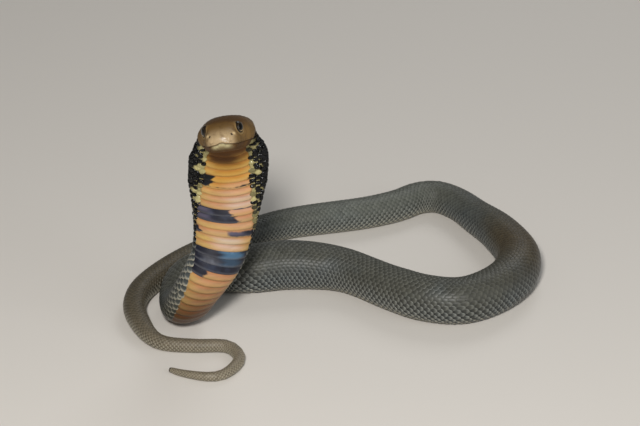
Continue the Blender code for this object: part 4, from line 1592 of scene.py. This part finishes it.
@dataclass
class Skin:
    """The one skin from the snout to the tail tip."""

    surface: Surface
    markings: Markings
    unwrap: Unwrap
    name: str = "skin"
    scaled_look: float = 0.75

    def build(self, nodes: Sequence[str]) -> bpy.types.Object:
        """Builds the skin and dresses it.

        Args:
            nodes: The nodes of flesh that it stands for.

        Returns:
            The skin.
        """
        rows, count = self.surface.points.shape[:2]
        snout = self.surface.points[0].mean(axis=0, keepdims=True)
        tip = self.surface.points[-1].mean(axis=0, keepdims=True)
        points = np.vstack([self.surface.points.reshape(-1, 3), snout, tip])
        grid = np.arange(rows * count).reshape(rows, count)
        after = np.roll(grid, -1, axis=1)
        quads = np.stack([grid[:-1], after[:-1], after[1:], grid[1:]], axis=-1).reshape(-1, 4)
        faces = [tuple(q) for q in quads.tolist()]
        faces += [(rows * count, int(b), int(a)) for a, b in zip(grid[0], after[0])]
        faces += [(rows * count + 1, int(a), int(b)) for a, b in zip(grid[-1], after[-1])]
        thing = new_mesh_object(self.name, points, faces)
        only(thing)
        with edit_mode():
            bpy.ops.mesh.normals_make_consistent(inside=False)
        self._dress(thing)
        declare(thing, nodes)
        return thing

    def _dress(self, thing: bpy.types.Object) -> None:
        """Gives the skin its values, its flat layout and its material."""
        surface = self.surface
        rows, count = surface.points.shape[:2]
        ways = np.repeat(surface.ways, count)
        shares = surface.point_share.ravel()
        ways = np.append(ways, [surface.ways[0], surface.ways[-1]])
        shares = np.append(shares, [0.5, 0.5])
        marks = self.markings.read(ways, shares)
        head_rows = len(surface.head_marks["seam"])
        on_body = self.markings.head_tones(ways, shares)
        for name, on_head in surface.head_marks.items():
            values = on_body.get(name, np.zeros(rows * count + 2)).copy()
            values[: head_rows * count] = on_head.ravel()
            marks[name] = values
        marks["free"] = np.full(len(ways), self.scaled_look)
        marks["rim"] = np.zeros(len(ways))
        marks["bare"] = 1 - marks["head"]
        set_marks(thing, marks)
        self._unwrap(thing, ways, shares)
        thing.data.materials.append(SnakeFinish().material("snake_skin", True))

    def _unwrap(self, thing: bpy.types.Object, ways: np.ndarray, shares: np.ndarray) -> None:
        """Lays the skin out flat, so that no face reaches over a cut or over the middle of the belly.

        Args:
            thing: The skin.
            ways: The way of each point.
            shares: The share of each point.
        """
        rows, count = self.surface.points.shape[:2]
        points = face_corners(thing)
        sizes = np.array([len(face.vertices) for face in thing.data.polygons])
        faces = np.repeat(np.arange(len(sizes)), sizes)
        row = np.minimum(faces // count, rows - 2)
        row = np.where(faces >= (rows - 1) * count, np.where(faces >= rows * count, rows - 2, 0), row)
        middle = (self.surface.ways[row] + self.surface.ways[row + 1]) / 2
        hand = np.where(faces % count < count // 2, 1.0, -1.0)
        places = self.unwrap.places(ways[points], np.abs(shares[points]) * hand, self.unwrap.strip_at(middle))
        set_unwrap(thing, places)


@dataclass(frozen=True)
class Plate:
    """One scale or plate as a small closed shape, from -1 to 1 along and across."""

    points: np.ndarray
    faces: list[tuple[int, ...]]
    sunk: np.ndarray

    @staticmethod
    def modelled(along: int, across: int) -> "Plate":
        """Models the plate from a flat grid, whose edge is extruded down and closed below.

        Args:
            along: Faces along it.
            across: Faces across it.

        Returns:
            The plate.
        """
        bpy.ops.object.select_all(action="DESELECT")
        bpy.ops.mesh.primitive_grid_add(x_subdivisions=along, y_subdivisions=across, size=2.0)
        blank = bpy.context.object
        with edit_mode():
            bpy.ops.mesh.extrude_region_move(TRANSFORM_OT_translate={"value": (0.0, 0.0, 1.0)})
            bpy.ops.mesh.select_all(action="SELECT")
            bpy.ops.mesh.normals_make_consistent(inside=False)
            bpy.ops.mesh.select_all(action="DESELECT")
        corners = np.array([v.co[:] for v in blank.data.vertices])
        under = corners[:, 2] < 0.5
        keep = np.flatnonzero(~(under & (np.abs(corners[:, :2]) < 1 - TINY).all(axis=1)))
        renumber = {int(old): new for new, old in enumerate(keep)}
        faces = [tuple(face.vertices) for face in blank.data.polygons]
        faces = [tuple(renumber[v] for v in face) for face in faces if all(v in renumber for v in face)]
        rim = Plate._in_order(corners, [i for i in keep if under[i]])
        faces = [face for face in faces if not all(under[keep[v]] for v in face)]
        faces.append(tuple(renumber[i] for i in reversed(rim)))
        bpy.data.objects.remove(blank)
        return Plate(corners[keep][:, :2], faces, under[keep])

    @staticmethod
    def _in_order(corners: np.ndarray, rim: Sequence[int]) -> list[int]:
        """Puts the rim's points in order round it."""
        angle = {i: math.atan2(corners[i, 1], corners[i, 0]) for i in rim}
        return [int(i) for i in sorted(rim, key=lambda i: angle[i])]


@dataclass
class ScaleCoat:
    """Scales or plates of one kind, joined as one mesh."""

    surface: Surface
    markings: Markings
    unwrap: Unwrap
    plate: Plate
    material: bpy.types.Material
    floor_clearance: float = 0.02

    def build(
        self,
        name: str,
        slot: str,
        ways: np.ndarray,
        shares: np.ndarray,
        offsets: Sequence[np.ndarray],
        heights: np.ndarray,
        free: np.ndarray,
        rim: np.ndarray,
        pick: np.ndarray,
    ) -> bpy.types.Object:
        """Lays the plates on the skin and dresses them.

        Args:
            name: The piece's name.
            slot: Not used.
            ways: The middle of each plate along the snake.
            shares: The middle of each plate round the body.
            offsets: For each plate and each of its points, how far along and how far round it lies.
            heights: For each plate and each of its points, how far out of the skin it lies.
            free: For each point of a plate, from 0 at its root to 1 at its free edge.
            rim: For each point of a plate, 1 on its free rim.
            pick: A tint for each plate.

        Returns:
            The piece.
        """
        number, size = heights.shape
        all_ways = ways[:, None] + offsets[0]
        all_shares = shares[:, None] + offsets[1]
        points = self.surface.place(all_ways, all_shares, heights)
        points[..., 2] = np.maximum(points[..., 2], self.floor_clearance)
        faces = []
        base = np.arange(number)[:, None] * size
        for face in self.plate.faces:
            faces += [tuple(row) for row in (base + np.array(face)[None, :]).tolist()]
        thing = new_mesh_object(name, points.reshape(-1, 3), faces)
        flat_ways, flat_shares = all_ways.ravel(), wrapped(all_shares).ravel()
        centres = (np.repeat(part, size) for part in (ways, shares, pick))
        marks = self.markings.read(flat_ways, flat_shares, *centres)
        marks.update(self.markings.head_tones(flat_ways, flat_shares))
        marks["free"] = np.tile(free, number)
        marks["rim"] = np.tile(rim, number)
        marks["pick"] = np.repeat(pick, size)
        set_marks(thing, marks)
        set_unwrap(thing, self.unwrap.patches(ways, shares, self.plate.points)[face_corners(thing)])
        thing.data.materials.append(self.material)
        declare(thing)
        return thing


@dataclass
class BackScales:
    """The smooth scales of the back and the flanks, in slanting rows."""

    coat: ScaleCoat
    bone: Backbone
    pitch_rows: Rows = (
        (-12.0, 2.8), (74.0, 2.9), (300.0, 2.95), (430.0, 2.8), (640.0, 2.5), (680.0, 2.0), (790.0, 1.6),
    )
    row_spacing: Rows = (
        (-12.0, 2.1), (25.0, 2.4), (60.0, 2.3), (110.0, 2.1), (200.0, 2.05), (340.0, 2.0), (430.0, 1.65),
        (510.0, 1.6), (580.0, 1.48), (630.0, 1.42), (665.0, 1.28), (690.0, 1.1), (755.0, 0.92),
        (788.0, 0.55),
    )
    first: float = -12.0
    low_rows_power: float = 5.0
    overlap: float = 1.45
    width: float = 0.97
    hood_width: float = 0.76
    margin_width: float = 0.62
    rise: float = 0.36
    root: float = -0.18
    dome: float = 0.19
    bead_height: float = 0.62
    bead_length: float = 0.80
    margin_length: float = 0.66
    tip_fade: float = 3.0
    sunk_by: float = 0.25
    set_back: float = 0.2
    full_spacing: float = 2.2
    flank_span: Span = (0.22, 0.5)
    length_spread: float = 0.05
    width_spread: float = 0.03
    last_row: float = 0.35
    row_rest: float = 0.45
    low_widening: float = 0.5
    outline_powers: Span = (2.4, 0.6)
    back_rise: float = 0.7
    flank_rise: float = 0.45
    droop_from: float = 0.4
    back_droop: float = 0.08
    flank_droop: float = 0.16
    bead_gain: float = 1.2
    bead_round: float = 0.9
    bead_sunk: float = 0.1
    free_power: float = 1.2
    rim_tip: Span = (0.40, 0.95)
    rim_side: Span = (0.5, 1.0)
    rim_side_along: Span = (-0.3, 0.3)
    stretches: Sequence[tuple[str, float]] = (
        ("hood_scales", 118.0),
        ("fore_scales", 246.0),
        ("middle_scales", 374.0),
        ("rear_scales", 508.0),
    )

    def build(self) -> list[bpy.types.Object]:
        """Lays all the scales, a stretch of the body at a time.

        Returns:
            The pieces.
        """
        rng = np.random.default_rng(RNG_SEED)
        lattice = self._lattice()
        made, low = [], -math.inf
        for name, high in (*self.stretches, ("hind_scales", self.bone.vent), ("tail_scales", math.inf)):
            here = (lattice[0] >= low) & (lattice[0] < high)
            made.append(self._lay(name, *lattice[:, here], rng))
            low = high
        return made

    def _lattice(self) -> np.ndarray:
        """Sets the scales out in staggered rows that follow the back.

        Returns:
            The way, share, row spacing and pitch of every scale, in four rows.
        """
        found: list[tuple[float, float, float, float]] = []
        way, shift = self.first, 0
        while way < self.bone.length - self.tip_fade:
            pitch = float(value_at(self.pitch_rows, way)[0])
            spacing = float(value_at(self.row_spacing, way)[0])
            girth = float(self.coat.surface.girth_at(np.array([way]))[0])
            flank = float(self.coat.surface.belly_edge_at(np.array([way]))[0]) * girth
            last = int(flank / spacing - self.last_row)
            rest = flank - (last + self.row_rest) * spacing
            for row in range(-last, last + 1):
                if abs(row) % 2 == shift:
                    low = (abs(row) / max(last, 1)) ** self.low_rows_power
                    out = math.copysign(abs(row) * spacing + rest * low, row)
                    found.append((way, out / girth, spacing + rest * low * self.low_widening, pitch))
            way += pitch / 2
            shift = 1 - shift
        return np.array(found).T

    def _lay(
        self,
        name: str,
        ways: np.ndarray,
        shares: np.ndarray,
        spacing: np.ndarray,
        pitches: np.ndarray,
        rng: np.random.Generator,
    ) -> bpy.types.Object:
        """Lays one stretch of scales.

        Args:
            name: The piece's name.
            ways: The scales' ways.
            shares: The scales' shares.
            spacing: Distance between rows at each scale.
            pitches: Distance along a row at each scale.
            rng: The seeded source of small differences.

        Returns:
            The piece.
        """
        plate = self.coat.plate
        u, v = plate.points[:, 0], plate.points[:, 1]
        outline = (1 - np.abs(u) ** self.outline_powers[0]) ** self.outline_powers[1]
        number = len(ways)
        stretch = 1 + self.length_spread * rng.standard_normal(number)
        marks = self.coat.markings.read(ways, shares)
        hood = marks["hood"]
        margin = marks["pale"] * hood
        narrow = self.width + (self.hood_width - self.width) * hood
        narrow = narrow + (self.margin_width - self.hood_width) * margin
        bead = np.clip(hood * self.bead_gain, 0.0, 1.0)
        shorter = (self.bead_length - 1) * bead + (self.margin_length - self.bead_length) * margin
        half_length = pitches * self.overlap / 2 * stretch * (1 + shorter)
        half_width = spacing * narrow * (1 + self.width_spread * rng.standard_normal(number))
        girth = self.coat.surface.girth_at(ways)
        along = u[None, :] * half_length[:, None] + self.set_back * pitches[:, None]
        round_by = (v * outline)[None, :] * (half_width / girth)[:, None]
        size = np.minimum(1.0, spacing / self.full_spacing)[:, None]
        slope = (u + 1) / 2
        flank = ease(np.abs(shares), *self.flank_span)[:, None]
        rise = self.rise * (self.back_rise + self.flank_rise * flank)
        top = self.root + (rise - self.root) * slope[None, :]
        droop = self.back_droop + self.flank_droop * flank
        droop = ease(np.abs(v), self.droop_from, 1.0)[None, :] * droop
        top = top + (self.dome * (1 - v**2)[None, :] - droop) * outline
        rounded = np.clip(1 - u**2, 0, 1) * np.clip(1 - self.bead_round * v**2, 0, 1)
        rounded = self.bead_height * np.sqrt(rounded) - self.bead_sunk
        top = top * (1 - bead[:, None]) + rounded[None, :] * bead[:, None]
        heights = np.where(plate.sunk[None, :], self.root - self.sunk_by, top) * size
        free = slope**self.free_power
        sides = ease(np.abs(v), *self.rim_side) * ease(u, *self.rim_side_along)
        rim = np.maximum(ease(u, *self.rim_tip), sides)
        pick = rng.random(number)
        return self.coat.build(name, "back_skin", ways, shares, (along, round_by), heights, free, rim, pick)


@dataclass
class BellyPlates:
    """The wide plates of the belly, one behind the other, and the paired plates under the tail."""

    coat: ScaleCoat
    bone: Backbone
    pitch: float = 3.65
    tail_pitch: float = 2.0
    first: float = -9.6
    root: float = -0.12
    rise: float = 0.42
    overlap: float = 0.38
    sunk_by: float = 0.25
    lip: float = 0.12
    lip_from: float = 0.93
    slope_power: float = 1.1
    taper_from: float = 0.86
    end_height: float = 0.45
    reared_end: float = 126.0
    tip_length: float = 5.0
    full_girth: float = 24.0

    def build(self) -> list[bpy.types.Object]:
        """Lays the plates of the belly and of the tail.

        Returns:
            The pieces.
        """
        rng = np.random.default_rng(RNG_SEED + 1)
        starts = np.arange(self.first, self.bone.vent - self.pitch, self.pitch)
        tail_starts = np.arange(self.bone.vent, self.bone.length - self.tip_length, self.tail_pitch)
        reared = starts < self.reared_end
        return [
            self._lay("belly_plates_reared", starts[reared], self.pitch, rng),
            self._lay("belly_plates_floor", starts[~reared], self.pitch, rng),
            self._lay("tail_plates", tail_starts, self.tail_pitch, rng),
        ]

    def _lay(self, name: str, starts: np.ndarray, pitch: float, rng: np.random.Generator) -> bpy.types.Object:
        """Lays one stretch of plates.

        Args:
            name: The piece's name.
            starts: The ways at which the plates start.
            pitch: The distance from plate to plate.
            rng: The seeded source of small differences.

        Returns:
            The piece.
        """
        plate = self.coat.plate
        u, v = plate.points[:, 0], plate.points[:, 1]
        number = len(starts)
        centres = starts + pitch / 2
        edge = self.coat.surface.belly_edge_at(centres)
        reach = 1 - edge
        slope = (u + 1) / 2
        span = pitch * (1 + self.overlap)
        bow = table_at(self.coat.surface.body.bow_rows, centres)[:, :1]
        along = (slope - 0.5) * span - self.overlap * pitch / 2 - bow * (v**2)[None, :]
        round_by = v[None, :] * reach[:, None]
        size = np.minimum(1.0, self.coat.surface.girth_at(centres) / self.full_girth)[:, None]
        height = 1 - (1 - self.end_height) * ease(np.abs(v), self.taper_from, 1.0)
        top = self.root + (self.rise - self.root) * slope**self.slope_power * height
        top = top - self.lip * ease(slope, self.lip_from, 1.0)
        heights = np.where(plate.sunk, self.root - self.sunk_by, top)[None, :] * size
        pick = rng.random(number)
        slot = "hood_skin" if "reared" in name else "back_skin"
        middle, offsets, rim = np.ones(number), (along, round_by), np.zeros(len(u))
        return self.coat.build(name, slot, centres, middle, offsets, heights, slope, rim, pick)


@dataclass
class Eye:
    """One eye, a flattened ball that sits in its socket."""

    head: HeadForm
    finish: EyeFinish = EyeFinish()
    segments: int = 64
    rings: int = 40
    ring_turn: float = 0.6
    ring_least: float = 0.06
    ring_low: Span = (0.9, 1.9)

    def build(self, name: str, hand: float, node: str) -> bpy.types.Object:
        """Builds the eye.

        Args:
            name: The piece's name.
            hand: 1 for the snake's left side, -1 for its right side.
            node: The node that it stands for.

        Returns:
            The eye.
        """
        mirror = np.array([1.0, hand, 1.0])
        centre = self.head.place(np.array(self.head.eye_place) * mirror)
        axes = np.array(self.head.bone.head_axes())
        pole = Vector(unit((np.array(self.head.eye_looks) * mirror) @ axes))
        upward = Vector(axes[2])
        upward = (upward - pole * pole.dot(upward)).normalized()
        bpy.ops.object.select_all(action="DESELECT")
        radius = self.head.eye_radius * MM
        bpy.ops.mesh.primitive_uv_sphere_add(segments=self.segments, ring_count=self.rings, radius=radius)
        eye = bpy.context.object
        eye.name = name
        eye.data.name = name
        with edit_mode():
            bpy.ops.transform.resize(value=(1.0, 1.0, self.head.eye_flatness))
        places = np.array([v.co[:] for v in eye.data.vertices]) / MM
        from_pupil = np.linalg.norm(places[:, :2], axis=1) / self.head.eye_radius
        from_pupil = np.where(places[:, 2] >= 0, from_pupil, 1.0)
        low = ease(self.ring_turn * hand * places[:, 0] - places[:, 1], *self.ring_low)
        low_rear = self.ring_least + (1 - self.ring_least) * low
        set_marks(eye, {"from_pupil": from_pupil, "low_rear": low_rear})
        turn = Matrix((upward.cross(pole), upward, pole)).transposed().to_4x4()
        eye.matrix_world = Matrix.Translation(Vector(centre) * MM) @ turn
        only(eye)
        bpy.ops.object.transform_apply(location=True, rotation=True, scale=True)
        bpy.ops.object.shade_smooth()
        eye.data.materials.clear()
        eye.data.materials.append(self.finish.material(name + "_finish"))
        declare(eye, [node])
        return eye


@dataclass(frozen=True)
class Lamp:
    """A soft square light, with its side in metres and its power in watts."""

    name: str
    place: tuple[float, float, float]
    size: float
    power: float
    colour: tuple[float, float, float]

    def hang(self, lit_point: Sequence[float]) -> None:
        """Hangs the lamp up, facing the point that it lights.

        Args:
            lit_point: The point that it faces.
        """
        data = bpy.data.lights.new(self.name, "AREA")
        data.size = self.size
        data.energy = self.power
        data.color = self.colour
        lamp = bpy.data.objects.new(self.name, data)
        lamp.location = self.place
        lamp.rotation_euler = (Vector(lit_point) - Vector(self.place)).to_track_quat("-Z", "Y").to_euler()
        bpy.context.scene.collection.objects.link(lamp)


@dataclass(frozen=True)
class Studio:
    """The floor, the lights and the camera."""

    target: tuple[float, float, float] = (-0.0073, 0.0786, 0.0)
    distance: float = 1.5
    elevation: float = 30.0
    lens: float = 151.875
    sensor: float = 36.0
    floor_size: float = 6.0
    world_colour: Colour = srgb(226, 226, 224)
    world_strength: float = 0.19
    lit_point: tuple[float, float, float] = (0.0, 0.0, 0.03)
    lamps: tuple[Lamp, ...] = (
        Lamp("key_light", (-0.10, -0.97, 0.83), 0.16, 12.6, (1.0, 0.98, 0.95)),
        Lamp("fill_light", (0.9, -0.6, 0.6), 0.7, 2.2, (0.90, 0.95, 1.0)),
        Lamp("back_light", (0.35, 0.9, 0.9), 0.6, 2.8, (0.96, 0.98, 1.0)),
    )
    nearest_seen: float = 0.01

    def build(self) -> None:
        """Sets the studio up."""
        self._floor()
        for lamp in self.lamps:
            lamp.hang(self.lit_point)
        world = bpy.data.worlds.new("studio")
        world.use_nodes = True
        background = world.node_tree.nodes["Background"]
        background.inputs["Color"].default_value = self.world_colour
        background.inputs["Strength"].default_value = self.world_strength
        bpy.context.scene.world = world
        bpy.context.scene.view_settings.view_transform = "Standard"
        self._camera()

    def _floor(self) -> None:
        """Lays the floor."""
        bpy.ops.object.select_all(action="DESELECT")
        bpy.ops.mesh.primitive_plane_add(size=self.floor_size)
        floor = bpy.context.object
        floor.name = "floor"
        floor.data.materials.append(FloorFinish().material("floor_finish"))
        floor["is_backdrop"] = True

    def _camera(self) -> None:
        """Sets the camera up at the photograph's viewing angle."""
        lift = math.radians(self.elevation)
        ahead = Vector((0.0, math.cos(lift), -math.sin(lift)))
        data = bpy.data.cameras.new("camera")
        data.lens = self.lens
        data.sensor_width = self.sensor
        data.clip_start = self.nearest_seen
        camera = bpy.data.objects.new("camera", data)
        camera.location = Vector(self.target) - ahead * self.distance
        camera.rotation_euler = ahead.to_track_quat("-Z", "Y").to_euler()
        bpy.context.scene.collection.objects.link(camera)
        bpy.context.scene.camera = camera


def corners(box: tuple[Vector, Vector]) -> list[list[float]]:
    """Turns a box's two corners into plain lists."""
    return [list(box[0]), list(box[1])]


def main() -> None:
    """Builds the whole scene."""
    logging.basicConfig(level=logging.INFO, format="%(message)s")
    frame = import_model()
    cad_box = corners(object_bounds())
    bpy.ops.object.select_all(action="DESELECT")
    Studio().build()
    bone = Backbone()
    body = BodyForm(bone)
    head = HeadForm(bone, body)
    surface = Surface(bone, body, head)
    markings = Markings(surface)
    inner_cuts = (surface.ways[np.argmin(np.abs(surface.ways - way))] for way in STRIP_CUTS)
    unwrap = Unwrap((surface.ways[0], *inner_cuts, surface.ways[-1]))
    flesh = sorted(name for name in frame["nodes"] if not name.startswith("eye"))
    Skin(surface, markings, unwrap).build(flesh)
    coat_material = SnakeFinish().material("snake_scales", False)
    scale = Plate.modelled(*SCALE_FACES)
    BackScales(ScaleCoat(surface, markings, unwrap, scale, coat_material), bone).build()
    plate = Plate.modelled(*BELLY_PLATE_FACES)
    BellyPlates(ScaleCoat(surface, markings, unwrap, plate, coat_material), bone).build()
    eye = Eye(head)
    eye.build("left_eye", 1.0, "eye_left")
    eye.build("right_eye", -1.0, "eye_right")
    visual_box = corners(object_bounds())
    log.info("CAD box %s, visual box %s", cad_box, visual_box)


if __name__ == "__main__":
    main()
